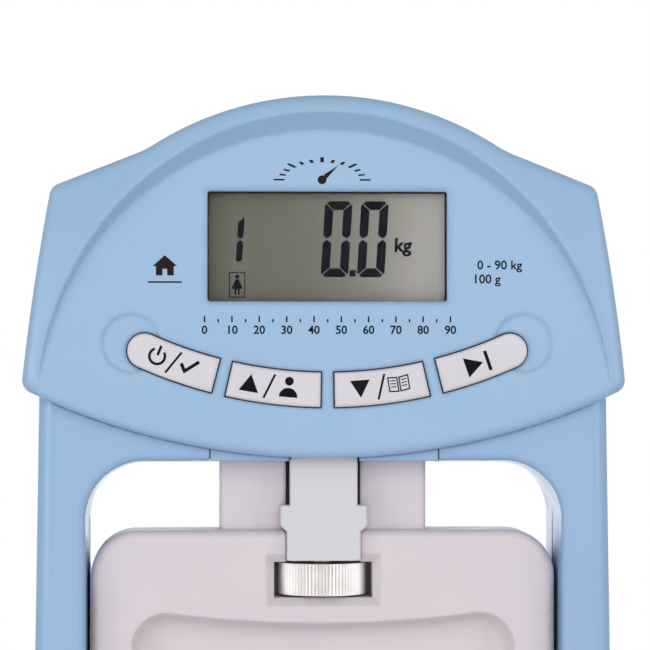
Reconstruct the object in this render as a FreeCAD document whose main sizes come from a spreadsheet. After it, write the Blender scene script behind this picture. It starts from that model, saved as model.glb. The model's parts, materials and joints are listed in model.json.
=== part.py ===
import FreeCAD, Part

import math
import os

# Electronic hand dynamometer, lying on its back.
# +Z points out of the display, +Y towards the top of the head, X across the handle.
# The origin is under the middle of the object's box, on the plane it lies on. Millimetres.

Vector = FreeCAD.Vector

drivingSizes = {
    # head and its cover
    "headTop": 98, "headRadius": 69, "shoulderX": 38.4, "shoulderCornerX": 58.7, "shoulderCornerY": 78.6,
    "hipX": 65, "hipBulge": 0.4, "hemLow": 20.4, "hemRadius": 148.8, "cornerRound": 3,
    "skirtZ": 18, "panelZ": 30, "crestRise": 4.5, "crestLift": 4.35, "crestRadius": 62, "crestY": 32.2,
    "panelRadius": 61.7, "panelY": 28.9, "wingSlope": 20, "coverWall": 2.2, "featureShift": 0.5,
    # U-shaped frame
    "splitZ": 13, "frameZ": 26, "frameWall": 2.2, "frameTopRadius": 66.7, "legTopX": 61.35, "legFootX": 63.2,
    "footCornerY": -93.3, "objectFoot": -98, "footRound": 22, "openTop": 19.7, "openX": 50.7,
    "openFootY": -80.5, "openFootDip": 4, "openRound": 12, "frameEdge": 4, "innerEdge": 1.6,
    # inner grip
    "gripBack": 4.5, "gripFront": 21.5, "gripTop": 4.6, "gripX": 50.3, "gripFootY": -62, "gripFootDip": 5,
    "gripRound": 10, "columnIn": 7.6, "columnOut": 22.4, "columnBack": 7.5, "columnFront": 18.5,
    "columnTop": 44, "scoopX": 41.5, "scoopTop": -12, "scoopDip": 3.4, "scoopFoot": -57, "scoopDepth": 4,
    "fingerX": 34.5, "fingerTop": -24.5, "fingerFoot": -49.5, "fingerRound": 6, "windowX": 10.65, "windowTop": -2.3,
    "windowFoot": -10, "rearWindowX": 7.4, "pocketFloor": 6, "slotX": 8.1, "webFront": 8.3,
    "gripWall": 2.4, "scoopRound": 7.5, "openDraft": 3,
    # post, adjusting screw and thumbwheel
    "postX": 7.3, "postBack": 8.5, "postFront": 23.5, "postTop": 29.2, "postFoot": -1.9, "bandX": 8,
    "tabX": 9.4, "screwRadius": 3, "screwFoot": -22, "wheelRadius": 9.6, "wheelRoot": 9.05, "wheelThick": 7.1,
    "wheelTeeth": 76,
    # display and keys
    "lcdX": 25.7, "lcdY": 65.75, "lcdHalfY": 11.8, "keyCentreY": 130.8, "keyInner": 92.05, "keyOuter": 99.45,
    "keyTop": 30.8, "keyFoot": 26.4, "keyGap": 0.3, "dishX": 42, "dishY": 45, "dishRadius": 6.5,
    "dishDepth": 0.6,
    # inside the head
    "boardZ": 21, "boardThick": 1.6, "cellY": 47, "cellWide": 9, "bayX": 27.5, "bayFoot": 62.5,
    "bayTop": 85, "batteryRadius": 5.25, "batteryLength": 44.5, "coverThick": 2,
}

doc = FreeCAD.newDocument("hand_dynamometer")
sheet = doc.addObject("Spreadsheet::Sheet", "sizes")
for row, (alias, value) in enumerate(drivingSizes.items(), start=1):
    sheet.set(f"A{row}", alias)
    sheet.set(f"B{row}", str(value))
    sheet.setAlias(f"B{row}", alias)
doc.recompute()

subParts = []


# ---- small helpers ----

def size(alias):
    return float(sheet.get(alias))


def text(value):
    """An expression for the sheet: aliases get the sheet's name in front."""
    words = str(value)
    for alias in sorted(drivingSizes, key=len, reverse=True):
        if alias in words:
            words = swapWord(words, alias)
    return words


def swapWord(words, alias):
    pieces = []
    rest = words
    while alias in rest:
        before, rest = rest.split(alias, 1)
        joined = before[-1:].isalpha() or before[-1:] == "." or rest[:1].isalpha()
        pieces.append(before + (alias if joined else "sizes." + alias))
    return "".join(pieces) + rest


def place(item, corner):
    for letter, value in zip("xyz", corner):
        item.setExpression(f"Placement.Base.{letter}", text(value))


def box(name, low, high):
    item = doc.addObject("Part::Box", name)
    for side, first, last in zip(("Length", "Width", "Height"), low, high):
        item.setExpression(side, text(f"({last}) - ({first})"))
    place(item, low)
    return item


turnTo = {
    "x": FreeCAD.Rotation(Vector(0, 1, 0), 90),
    "y": FreeCAD.Rotation(Vector(1, 0, 0), -90),
    "z": FreeCAD.Rotation(),
}


def cylinder(name, radius, start, length, axis="z"):
    item = doc.addObject("Part::Cylinder", name)
    item.setExpression("Radius", text(radius))
    item.setExpression("Height", text(length))
    item.Placement = FreeCAD.Placement(Vector(), turnTo[axis])
    place(item, start)
    return item


def fuse(name, *shapes):
    item = doc.addObject("Part::MultiFuse", name)
    item.Shapes = list(shapes)
    return item


def cut(name, base, *tools):
    item = doc.addObject("Part::Cut", name)
    item.Base = base
    item.Tool = tools[0] if len(tools) == 1 else fuse(name + "_tools", *tools)
    return item


def common(name, first, second):
    item = doc.addObject("Part::Common", name)
    item.Base = first
    item.Tool = second
    return item


def compound(name, *shapes):
    item = doc.addObject("Part::Compound", name)
    item.Links = list(shapes)
    return item


def pad(name, wire, bottom, top, taper=0):
    """A PartDesign body: the outline, padded from one height to another."""
    body = doc.addObject("PartDesign::Body", name)
    sketch = body.newObject("Sketcher::SketchObject", name + "_outline")
    plane = [item for item in body.Origin.OriginFeatures if item.Role == "XY_Plane"][0]
    sketch.AttachmentSupport = [(plane, "")]
    sketch.MapMode = "FlatFace"
    sketch.setExpression("AttachmentOffset.Base.z", text(bottom))
    for edge in wire.Edges:
        start = edge.valueAt(edge.FirstParameter)
        middle = edge.valueAt((edge.FirstParameter + edge.LastParameter) / 2)
        end = edge.valueAt(edge.LastParameter)
        straight = edge.Curve.TypeId == "Part::GeomLine"
        sketch.addGeometry(Part.LineSegment(start, end) if straight else Part.Arc(start, middle, end))
    feature = body.newObject("PartDesign::Pad", name + "_pad")
    feature.Profile = sketch
    feature.setExpression("Length", text(f"({top}) - ({bottom})"))
    if taper:
        feature.TaperAngle = taper
    body.Tip = feature
    return body


def roundEdges(name, base, radius, test):
    """A Part fillet of the edges that pass the test."""
    doc.recompute()
    item = doc.addObject("Part::Fillet", name)
    item.Base = base
    picked = [number for number, edge in enumerate(base.Shape.Edges, start=1) if test(edge)]
    item.Edges = [(number, radius, radius) for number in picked]
    return item


def keep(item, label):
    item.Label = label
    subParts.append(item)
    return item


def upright(edge, x, y):
    """Whether an edge stands along Z at this place."""
    reach = edge.BoundBox
    straight = reach.XLength < 1e-3 and reach.YLength < 1e-3
    return straight and abs(reach.XMin - x) < 0.6 and abs(reach.YMin - y) < 0.6


def level(edge, height):
    """Whether an edge lies in the plane at this height."""
    reach = edge.BoundBox
    return abs(reach.ZMin - height) < 1e-3 and abs(reach.ZMax - height) < 1e-3


# ---- outlines ----

def flat(x, y):
    return Vector(x, y, 0)


def line(first, last):
    return Part.LineSegment(first, last).toShape()


def arc(first, middle, last):
    return Part.Arc(first, middle, last).toShape()


def closed(*edges):
    return Part.Wire(Part.__sortEdges__(list(edges)))


def rectangle(low, high, radius=0):
    """A rectangle with round corners."""
    x1, y1 = low
    x2, y2 = high
    if radius == 0:
        corners = [flat(x1, y1), flat(x2, y1), flat(x2, y2), flat(x1, y2)]
        return closed(*[line(a, b) for a, b in zip(corners, corners[1:] + corners[:1])])
    inner = [(x2 - radius, y1 + radius, -90), (x2 - radius, y2 - radius, 0),
             (x1 + radius, y2 - radius, 90), (x1 + radius, y1 + radius, 180)]
    edges = []
    ends = []
    for x, y, start in inner:
        spots = [math.radians(start + step) for step in (0, 45, 90)]
        spots = [flat(x + radius * math.cos(a), y + radius * math.sin(a)) for a in spots]
        edges.append(arc(*spots))
        ends.append((spots[0], spots[2]))
    for (_, last), (first, _) in zip(ends, ends[1:] + ends[:1]):
        if last.distanceToPoint(first) > 1e-6:
            edges.append(line(last, first))
    return closed(*edges)


def arcHeight(radius, centreY, x):
    return centreY + math.sqrt(radius ** 2 - x ** 2)


def headOutline():
    """The cover seen from the front: a round top, sloping shoulders and a bowed hem."""
    centreY = size("headTop") - size("headRadius")
    shoulder = flat(size("shoulderX"), arcHeight(size("headRadius"), centreY, size("shoulderX")))
    corner = flat(size("shoulderCornerX"), size("shoulderCornerY"))
    hemCentre = size("hemLow") + size("hemRadius")
    hip = flat(size("hipX"), 2 * hemCentre - arcHeight(size("hemRadius"), hemCentre, size("hipX")))
    bulge = (corner + hip) * 0.5 + flat(size("hipBulge"), 0)
    mirror = lambda spot: flat(-spot.x, spot.y)
    return closed(
        arc(mirror(shoulder), flat(0, size("headTop")), shoulder),
        line(shoulder, corner),
        arc(corner, bulge, hip),
        arc(hip, flat(0, size("hemLow")), mirror(hip)),
        arc(mirror(hip), mirror(bulge), mirror(corner)),
        line(mirror(corner), mirror(shoulder)))


def frameOutline():
    """Legs, palm bar and the part of the head that the cover fits over."""
    centreY = size("headTop") - size("headRadius")
    edgeX = size("shoulderX") - 1.4
    shoulder = flat(edgeX, arcHeight(size("frameTopRadius"), centreY, edgeX))
    corner = flat(size("shoulderCornerX") - 2.2, size("shoulderCornerY") - 1.7)
    hip = flat(size("legTopX"), 34)
    foot = flat(size("legFootX"), size("footCornerY"))
    mirror = lambda spot: flat(-spot.x, spot.y)
    return closed(
        arc(mirror(shoulder), flat(0, centreY + size("frameTopRadius")), shoulder),
        line(shoulder, corner),
        line(corner, hip),
        line(hip, foot),
        arc(foot, flat(0, size("objectFoot")), mirror(foot)),
        line(mirror(foot), mirror(hip)),
        line(mirror(hip), mirror(corner)),
        line(mirror(corner), mirror(shoulder)))


def bowedBox(halfX, top, footY, dip, topBow=0):
    """A four-sided outline whose lower edge is bowed out by dip, and whose upper edge may be bowed in."""
    left, right = flat(-halfX, top), flat(halfX, top)
    upper = line(left, right) if topBow == 0 else arc(left, flat(0, top - topBow), right)
    lower = arc(flat(halfX, footY), flat(0, footY - dip), flat(-halfX, footY))
    return closed(upper, line(right, flat(halfX, footY)), lower, line(flat(-halfX, footY), left))


def onKeyArc(radius, degrees):
    angle = math.radians(degrees)
    return flat(size("featureShift") + radius * math.sin(angle),
                size("keyCentreY") - radius * math.cos(angle))


def keyOutline(first, last, roundEnd, extra=0):
    """A key as a stretch of a ring; the outer keys end in a half circle."""
    inner = size("keyInner") - extra
    outer = size("keyOuter") + extra
    middle = (inner + outer) / 2
    slack = math.degrees(extra / middle)
    sign = 1 if last > first else -1
    first = first - sign * slack
    last = last if roundEnd else last + sign * slack
    tip = last + sign * math.degrees((outer - inner) / 2 / middle)
    half = (first + last) / 2
    end = line(onKeyArc(inner, last), onKeyArc(outer, last))
    if roundEnd:
        end = arc(onKeyArc(inner, last), onKeyArc(middle, tip), onKeyArc(outer, last))
    return closed(
        arc(onKeyArc(inner, first), onKeyArc(inner, half), onKeyArc(inner, last)),
        end,
        arc(onKeyArc(outer, last), onKeyArc(outer, half), onKeyArc(outer, first)),
        line(onKeyArc(outer, first), onKeyArc(inner, first)))


def toothedCircle():
    """The thumbwheel's rim: straight V teeth all round."""
    count = int(size("wheelTeeth")) * 2
    spots = []
    for number in range(count):
        angle = 2 * math.pi * number / count
        radius = size("wheelRadius") if number % 2 else size("wheelRoot")
        spots.append(flat(radius * math.cos(angle), radius * math.sin(angle)))
    return closed(*[line(a, b) for a, b in zip(spots, spots[1:] + spots[:1])])


keySpans = {
    "key_power": (-14.5, -24.1, True),
    "key_up": (-0.9, -12.7, False),
    "key_down": (0.9, 12.7, False),
    "key_start": (14.5, 24.1, True),
}
frameScrewPlaces = [(-56.4, -52), (56.4, -52), (-56, 6), (56, 6), (-53.4, 66), (53.4, 66), (0, 91)]
gripScrewPlaces = [(-45.5, -8), (45.5, -8), (-34, -61), (34, -61)]
boardScrewPlaces = [(-40, 56), (40, 56), (-30, 30.5), (30, 30.5)]


# ---- housing: cover, frame halves and guide block ----

def makeCover():
    slab = pad("cover_slab", headOutline(), "skirtZ", "panelZ + 12")
    hemCentre = size("hemLow") + size("hemRadius")
    hipY = 2 * hemCentre - arcHeight(size("hemRadius"), hemCentre, size("hipX"))
    centreY = size("headTop") - size("headRadius")
    kinkY = arcHeight(size("headRadius"), centreY, size("shoulderX"))
    corners = [(size("shoulderCornerX"), size("shoulderCornerY")), (size("hipX"), hipY)]
    slab = roundEdges("cover_corners", slab, size("cornerRound"), lambda edge: any(
        upright(edge, side * x, y) for x, y in corners for side in (-1, 1)))
    slab = roundEdges("cover_kinks", slab, 20, lambda edge: any(
        upright(edge, side * size("shoulderX"), kinkY) for side in (-1, 1)))
    # the raised ring: a flat-topped cone whose plane climbs towards the top of the head
    lift = FreeCAD.Rotation(Vector(1, 0, 0), size("crestLift"))
    spread = 30
    drop = spread * math.tan(math.radians(size("wingSlope")))
    ringFoot = Vector(0, size("crestY"), size("panelZ") - 0.27)
    ring = doc.addObject("Part::Cone", "ring_cone")
    ring.setExpression("Radius1", text(f"crestRadius + {spread}"))
    ring.setExpression("Radius2", text("crestRadius"))
    ring.Height = drop
    ring.Placement = FreeCAD.Placement(ringFoot + lift.multVec(Vector(0, 0, -drop)), lift)
    under = doc.addObject("Part::Cylinder", "ring_base")
    under.setExpression("Radius", text(f"crestRadius + {spread}"))
    under.Height = 30
    under.Placement = FreeCAD.Placement(ringFoot + lift.multVec(Vector(0, 0, -drop - 30)), lift)
    disc = cylinder("panel_disc", "panelRadius", (0, "panelY", 0), "panelZ")
    skin = common("cover_skin", slab, fuse("cover_top", ring, under, disc))
    # the cove inside the ring leans from the panel's edge up to the crest
    lower = doc.addObject("Part::Circle", "cove_low")
    lower.setExpression("Radius", text("panelRadius"))
    place(lower, (0, "panelY", "panelZ"))
    upper = doc.addObject("Part::Circle", "cove_high")
    upper.setExpression("Radius", text("crestRadius + 0.15"))
    place(upper, (0, "crestY + 1.6", "panelZ + crestRise + 1.5"))
    cove = doc.addObject("Part::Loft", "cove")
    cove.Sections = [lower, upper]
    cove.Solid = True
    cove.Ruled = True
    skin = cut("cover_coved", skin, cove)
    doc.recompute()
    outline = headOutline()

    def onRim(edge):
        middle = edge.valueAt((edge.FirstParameter + edge.LastParameter) / 2)
        near = outline.distToShape(Part.Vertex(flat(middle.x, middle.y)))[0] < 0.8
        return near and middle.z > size("panelZ") - 1.6 and middle.y > hipY - 0.3 and edge.BoundBox.ZLength < 8

    skin = roundEdges("cover_rounded", skin, 2.8, onRim)
    # the hem's round edge, turned about the middle of its bow
    hemPlace = (0, "hemLow + hemRadius", 0)
    hemEdge = cylinder("hem_edge", "hemRadius", hemPlace, "panelZ")
    hemEdge = roundEdges("hem_round", hemEdge, 1.8, lambda edge: level(edge, size("panelZ")))
    hemCore = cylinder("hem_core", "hemRadius - 1.8", hemPlace, "panelZ + 15")
    skin = common("cover_hemmed", skin, fuse("hem_limit", hemEdge, hemCore))
    hollow = pad("cover_hollow", frameOutline().makeOffset2D(0.15), "skirtZ - 20", "frameZ + 0.1")
    ceilingHeight = "panelZ - coverWall - skirtZ"
    ceiling = cylinder("panel_hollow", "panelRadius - 3.5", (0, "panelY + 0.5", "skirtZ"), ceilingHeight)
    inside = pad("panel_limit", headOutline().makeOffset2D(-2.6), "skirtZ", "panelZ")
    ceiling = common("panel_room", ceiling, inside)
    shift = size("featureShift")
    low = (shift - size("lcdX"), size("lcdY") - size("lcdHalfY"))
    high = (shift + size("lcdX"), size("lcdY") + size("lcdHalfY"))
    window = pad("lcd_window", rectangle(low, high, 0.6), "panelZ - 5", "panelZ - 0.5")
    bevel = pad("lcd_bevel", rectangle(low, high, 0.6), "panelZ - 0.5", "panelZ + 1", 64)
    tools = [hollow, ceiling, window, bevel]
    for name, (first, last, roundEnd) in keySpans.items():
        tools.append(pad(name + "_hole", keyOutline(first, last, roundEnd, size("keyGap")),
                         "panelZ - 5", "panelZ + 2"))
    for side, name in ((-1, "left"), (1, "right")):
        dish = doc.addObject("Part::Cone", "finger_dish_" + name)
        dish.setExpression("Radius1", text("dishRadius - dishDepth"))
        dish.setExpression("Radius2", text("dishRadius + dishDepth"))
        dish.setExpression("Height", text("2 * dishDepth"))
        place(dish, (f"featureShift + {side} * dishX", "dishY", "panelZ - dishDepth"))
        tools.append(dish)
    bosses = [cylinder(f"board_boss_{number}", 2.6, (x, y, "boardZ + boardThick + 0.05"), 6)
              for number, (x, y) in enumerate(boardScrewPlaces)]
    pilots = [cylinder(f"board_pilot_{number}", 1.05, (x, y, "boardZ"), 6)
              for number, (x, y) in enumerate(boardScrewPlaces)]
    shell = cut("cover_shell", skin, *tools)
    keep(cut("head_cover", fuse("cover_bossed", shell, *bosses), *pilots), "head_cover")


def channel(name, bottom, top):
    """The hollow inside the legs, the palm bar and the head, clear of the big opening."""
    inner = pad(name + "_inner", frameOutline().makeOffset2D(-size("frameWall")), bottom, top)
    corners = bowedBox(size("openX"), size("openTop"), size("openFootY"), size("openFootDip"))
    island = pad(name + "_island", corners.makeOffset2D(size("frameWall")), f"{bottom} - 1", f"{top} + 1")
    return cut(name, inner, island)


def openingOutline(lower=0):
    """The big opening with its rounded corners."""
    outline = bowedBox(size("openX"), size("openTop") - lower, size("openFootY"), size("openFootDip"))
    return outline.makeOffset2D(-size("openRound")).makeOffset2D(size("openRound"))


def frameHalf(name, bottom, top, edgeZ, draft):
    slab = pad(name + "_slab", frameOutline(), bottom, top)
    foot = [(size("legFootX"), size("footCornerY"))]
    slab = roundEdges(name + "_feet", slab, size("footRound"), lambda edge: any(
        upright(edge, side * x, y) for x, y in foot for side in (-1, 1)))
    slab = roundEdges(name + "_shoulders", slab, 4, lambda edge: any(
        upright(edge, side * (size("shoulderCornerX") - 2.2), size("shoulderCornerY") - 1.7) for side in (-1,
                                                                                                          1)))
    slab = roundEdges(name + "_rim", slab, size("frameEdge"), lambda edge: level(edge, edgeZ))
    hole = pad(name + "_hole", openingOutline(draft / 5), f"{bottom} - 1", f"{top} + 1", draft)
    ring = cut(name + "_ring", slab, hole)
    doc.recompute()
    walls = openingOutline()

    def onHole(edge):
        middle = edge.valueAt((edge.FirstParameter + edge.LastParameter) / 2)
        return level(edge, edgeZ) and abs(middle.x) < size("openX") + 1 and -86 < middle.y < size("openTop") + 1 \
            and walls.distToShape(Part.Vertex(flat(middle.x, middle.y)))[0] < 8

    return roundEdges(name + "_lip", ring, size("innerEdge"), onHole)


def guideNotch(name):
    return box(name, (-24.7, "openTop - 1", "frameWall"), (24.7, 29.2, "frameZ + 1"))


def makeFrameFront():
    shell = frameHalf("frame_front", "splitZ", "frameZ", size("frameZ"), size("openDraft"))
    hollow = channel("front_channel", "splitZ - 1", "frameZ - frameWall")
    room = common("front_room", pad("front_room_outline", frameOutline().makeOffset2D(-size("frameWall")),
                                    "splitZ - 1", "frameZ + 1"),
                  cylinder("front_room_bow", "hemRadius - 4", (0, "hemLow + hemRadius", "splitZ - 2"), 20))
    shell = cut("frame_front_hollow", shell, hollow, room, guideNotch("front_notch"))
    bosses = []
    pilots = []
    for number, (x, y) in enumerate(frameScrewPlaces):
        top = "frameZ - 1" if y < 20 else "splitZ + 8"
        bosses.append(cylinder(f"front_boss_{number}", 3.2, (x, y, "splitZ"), f"{top} - splitZ"))
        pilots.append(cylinder(f"front_pilot_{number}", 1.45, (x, y, "splitZ - 1"), 8))
    keep(cut("frame_front", fuse("frame_front_bossed", shell, *bosses), *pilots), "frame_front")


def makeRearHousing():
    shell = frameHalf("rear_housing", 0, "splitZ - 0.05", 0, 0)
    hollow = channel("rear_channel", "frameWall", "splitZ + 1")
    shell = cut("rear_hollow", shell, hollow, guideNotch("rear_notch"))
    added = []
    removed = []
    for number, (x, y) in enumerate(frameScrewPlaces):
        added.append(cylinder(f"rear_boss_{number}", 3.4, (x, y, 1), "splitZ - 1.05"))
        removed.append(cylinder(f"rear_hole_{number}", 1.6, (x, y, -1), "splitZ + 2"))
        removed.append(cylinder(f"rear_sink_{number}", 3, (x, y, -1), 4.2))
    bay = box("bay_block", ("-bayX - 1.5", "bayFoot - 1.5", 0.5), ("bayX + 1.5", "bayTop + 1.5", 15))
    added.append(bay)
    removed.append(box("bay_room", ("-bayX", "bayFoot", "coverThick"), ("bayX", "bayTop", 13.5)))
    removed.append(box("bay_mouth", ("-bayX - 1", "bayFoot - 1", -1),
                       ("bayX + 1", "bayTop + 1", "coverThick + 0.2")))
    removed.append(box("bay_finger_notch", (-5.6, "bayTop", -1), (5.6, "bayTop + 2.3", 1.8)))
    for x in (-28, 28):
        added.append(box(f"cell_pillar_{x + 28}", (x - 5, "cellY - 1", 2),
                         (x + 5, "cellY + cellWide + 1", 5)))
        removed.append(cylinder(f"cell_pilot_{x + 28}", 1.55, (x, "cellY + cellWide / 2", 2.3), 4))
    removed.append(box("plate_recess", (-22.3, 32.7, -1), (22.3, 53.3, 0.35)))
    keep(cut("rear_housing", fuse("rear_solid", shell, *added), *removed), "rear_housing")


def makeGuideBlock():
    block = box("guide_blank", (-24.5, "openTop", "frameWall + 0.1"), (24.5, 29, "frameZ - 0.1"))
    slot = box("guide_columns", ("-columnOut - 0.3", "openTop - 1", "columnBack - 0.3"),
               ("columnOut + 0.3", 30, "columnFront + 0.3"))
    post = box("guide_post", ("-postX - 0.35", "openTop - 1", "postBack - 0.3"),
               ("postX + 0.35", 30, "frameZ + 1"))
    keep(cut("guide_block", block, slot, post), "guide_block")


def makeFrameScrews():
    screws = []
    for number, (x, y) in enumerate(frameScrewPlaces):
        head = cylinder(f"screw_head_{number}", 2.7, (x, y, 1.3), 1.9)
        shank = cylinder(f"screw_shank_{number}", 1.35, (x, y, 3), "splitZ + 2.5")
        slot = box(f"screw_slot_{number}", (x - 1.7, y - 0.3, 1), (x + 1.7, y + 0.3, 2.1))
        cross = box(f"screw_cross_{number}", (x - 0.3, y - 1.7, 1), (x + 0.3, y + 1.7, 2.1))
        screws.append(cut(f"housing_screw_{number}", fuse(f"screw_solid_{number}", head, shank), slot, cross))
    keep(compound("housing_screws", *screws), "housing_screws")


# ---- inner grip, post, screw and thumbwheel ----

def scoopOutline():
    return bowedBox(size("scoopX"), size("scoopTop"), size("scoopFoot"), 1.5, size("scoopDip"))


def scoopTool(name, front):
    """A dished relief round the finger opening, with leaning walls."""
    depth = size("scoopDepth")
    if front:
        tool = pad(name, roundedScoop(-2.6), f"gripFront - {depth}", "gripFront + 1", 33)
    else:
        tool = pad(name, roundedScoop(2.6 / depth), "gripBack - 1", f"gripBack + {depth}", -33)
    return tool


def roundedScoop(grow):
    return scoopOutline().makeOffset2D(-size("scoopRound")).makeOffset2D(size("scoopRound") + grow)


def gripHalf(name, bottom, top, faceZ, front):
    slab = pad(name + "_slab", bowedBox(size("gripX"), size("gripTop"), size("gripFootY"),
                                        size("gripFootDip")),
               bottom, top)
    slab = roundEdges(name + "_top_corners", slab, size("gripRound"), lambda edge: any(
        upright(edge, side * size("gripX"), size("gripTop")) for side in (-1, 1)))
    slab = roundEdges(name + "_foot_corners", slab, 16, lambda edge: any(
        upright(edge, side * size("gripX"), size("gripFootY")) for side in (-1, 1)))
    slab = roundEdges(name + "_rim", slab, 2, lambda edge: level(edge, faceZ))
    finger = pad(name + "_finger", rectangle((-size("fingerX"), size("fingerFoot")),
                                             (size("fingerX"), size("fingerTop")), size("fingerRound")),
                 f"{bottom} - 1", f"{top} + 1")
    floor = faceZ - size("scoopDepth") if front else faceZ + size("scoopDepth")
    scoop = roundEdges(name + "_scoop_foot", scoopTool(name + "_scoop", front), 4.6,
                       lambda edge: level(edge, floor))
    dished = cut(name + "_dished", slab, finger, scoop)

    def onFinger(edge):
        middle = edge.valueAt((edge.FirstParameter + edge.LastParameter) / 2)
        inX = abs(middle.x) < size("fingerX") + 0.1
        inY = size("fingerFoot") - 0.1 < middle.y < size("fingerTop") + 0.1
        return level(edge, floor) and inX and inY

    return roundEdges(name + "_finger_lip", dished, 1.2, onFinger)


def gripTools(name):
    """Slot for the post, pocket and rear window for the wheel, and the screw's bore."""
    slot = box(name + "_slot", ("-slotX", "windowTop - 1", "webFront"),
               ("slotX", "columnTop + 1", "gripFront + 1"))
    pocket = box(name + "_pocket", ("-windowX", "windowFoot", "pocketFloor"),
                 ("windowX", "windowTop", "gripFront + 1"))
    window = box(name + "_window", ("-rearWindowX", "windowFoot", "gripBack - 1"),
                 ("rearWindowX", "windowTop", "pocketFloor + 1"))
    bore = cylinder(name + "_bore", "screwRadius + 0.4", (0, "screwFoot - 1", "splitZ"),
                    "-windowX - screwFoot + 3", "y")
    return [slot, pocket, window, bore]


def windowBevel(name, front):
    """The leaning frame round the wheel's window, on the front or the rear face."""
    grow = 0 if front else 2
    halfX = (size("windowX") if front else size("rearWindowX")) + grow
    outline = rectangle((-halfX, size("windowFoot") - grow), (halfX, size("windowTop") + grow))
    if front:
        return pad(name, outline, "gripFront - 1.4", "gripFront + 1", 52)
    return pad(name, outline, "gripBack - 1", "gripBack + 1", -45)


def mouthTool(name):
    """The chamfered mouth of the slot, under the post's shoulders."""
    high = size("gripTop") + 1.4
    low = size("gripTop") - 0.6
    halfX = size("slotX")
    corners = [flat(-halfX - 2, high), flat(halfX + 2, high), flat(halfX, low), flat(-halfX, low)]
    wire = closed(*[line(a, b) for a, b in zip(corners, corners[1:] + corners[:1])])
    return pad(name, wire, "columnFront", "gripFront + 1")


def gripColumns(name, bottom, top):
    blocks = []
    for side, low, high in (("left", "-columnOut", "-columnIn"), ("right", "columnIn", "columnOut")):
        blocks.append(box(f"{name}_column_{side}", (low, 0, bottom), (high, "columnTop", top)))
    return blocks


def gripHollow(name, bottom, top):
    """The room inside the moulding, clear of the scoop, the window and the columns."""
    outline = bowedBox(size("gripX"), size("gripTop"), size("gripFootY"), size("gripFootDip"))
    room = pad(name + "_room", outline.makeOffset2D(-size("gripWall") - 0.4), bottom, top)
    keepScoop = pad(name + "_keep_scoop", scoopOutline().makeOffset2D(1.2), f"{bottom} - 1", f"{top} + 1")
    keepWheel = box(name + "_keep_wheel", (-24.5, -20, 0), (24.5, 20, 30))
    posts = [cylinder(f"{name}_keep_{number}", 3.4, (x, y, 0), 30)
             for number, (x, y) in enumerate(gripScrewPlaces)]
    return cut(name, room, keepScoop, keepWheel, *posts)


def makeGripFront():
    half = gripHalf("grip_front", "splitZ", "gripFront", size("gripFront"), True)
    columns = gripColumns("grip_front", "splitZ", "columnFront")
    columns = [roundEdges(f"grip_front_column_round_{number}", block, 1.2, lambda edge: level(
        edge, size("columnFront")) and edge.BoundBox.YLength > 5) for number, block in enumerate(columns)]
    pilots = [cylinder(f"grip_pilot_{number}", 1.25, (x, y, "splitZ - 1"), 6)
              for number, (x, y) in enumerate(gripScrewPlaces)]
    solid = fuse("grip_front_solid", half, *columns)
    hollow = gripHollow("grip_front_hollow", "splitZ - 1", "gripFront - gripWall")
    keep(cut("grip_front", solid, hollow, windowBevel("grip_front_bevel", True),
             mouthTool("grip_front_mouth"),
             *gripTools("grip_front"), *pilots), "grip_front")


def makeGripRear():
    half = gripHalf("grip_rear", "gripBack", "splitZ - 0.05", size("gripBack"), False)
    columns = gripColumns("grip_rear", "columnBack", "splitZ - 0.05")
    columns = [roundEdges(f"grip_rear_column_round_{number}", block, 1.2, lambda edge: level(
        edge, size("columnBack")) and edge.BoundBox.YLength > 5 and abs(edge.BoundBox.XMin) > 10)
               for number, block in enumerate(columns)]
    # a thin web joins the columns behind the post
    columns.append(box("grip_rear_web", ("-columnIn - 1", 0, "columnBack"),
                       ("columnIn + 1", "columnTop", "webFront")))
    holes = []
    for number, (x, y) in enumerate(gripScrewPlaces):
        holes.append(cylinder(f"grip_hole_{number}", 1.4, (x, y, 0), "splitZ + 1"))
        holes.append(cylinder(f"grip_sink_{number}", 2.8, (x, y, 0), "gripBack + 2.6"))
    solid = fuse("grip_rear_solid", half, *columns)
    hollow = gripHollow("grip_rear_hollow", "gripBack + gripWall", "splitZ + 1")
    keep(cut("grip_rear", solid, hollow, windowBevel("grip_rear_bevel", False),
             *gripTools("grip_rear"), *holes), "grip_rear")


def makeGripScrews():
    screws = []
    for number, (x, y) in enumerate(gripScrewPlaces):
        head = cylinder(f"grip_head_{number}", 2.5, (x, y, "gripBack + 1"), 1.6)
        shank = cylinder(f"grip_shank_{number}", 1.15, (x, y, "gripBack + 2.4"), "splitZ - gripBack + 1.2")
        slot = box(f"grip_slot_{number}", (x - 1.5, y - 0.3, 4), (x + 1.5, y + 0.3, "gripBack + 1.8"))
        cross = box(f"grip_cross_{number}", (x - 0.3, y - 1.5, 4), (x + 0.3, y + 1.5, "gripBack + 1.8"))
        screws.append(cut(f"grip_screw_{number}", fuse(f"grip_screw_solid_{number}", head, shank), slot,
                          cross))
    keep(compound("grip_screws", *screws), "grip_screws")


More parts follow.
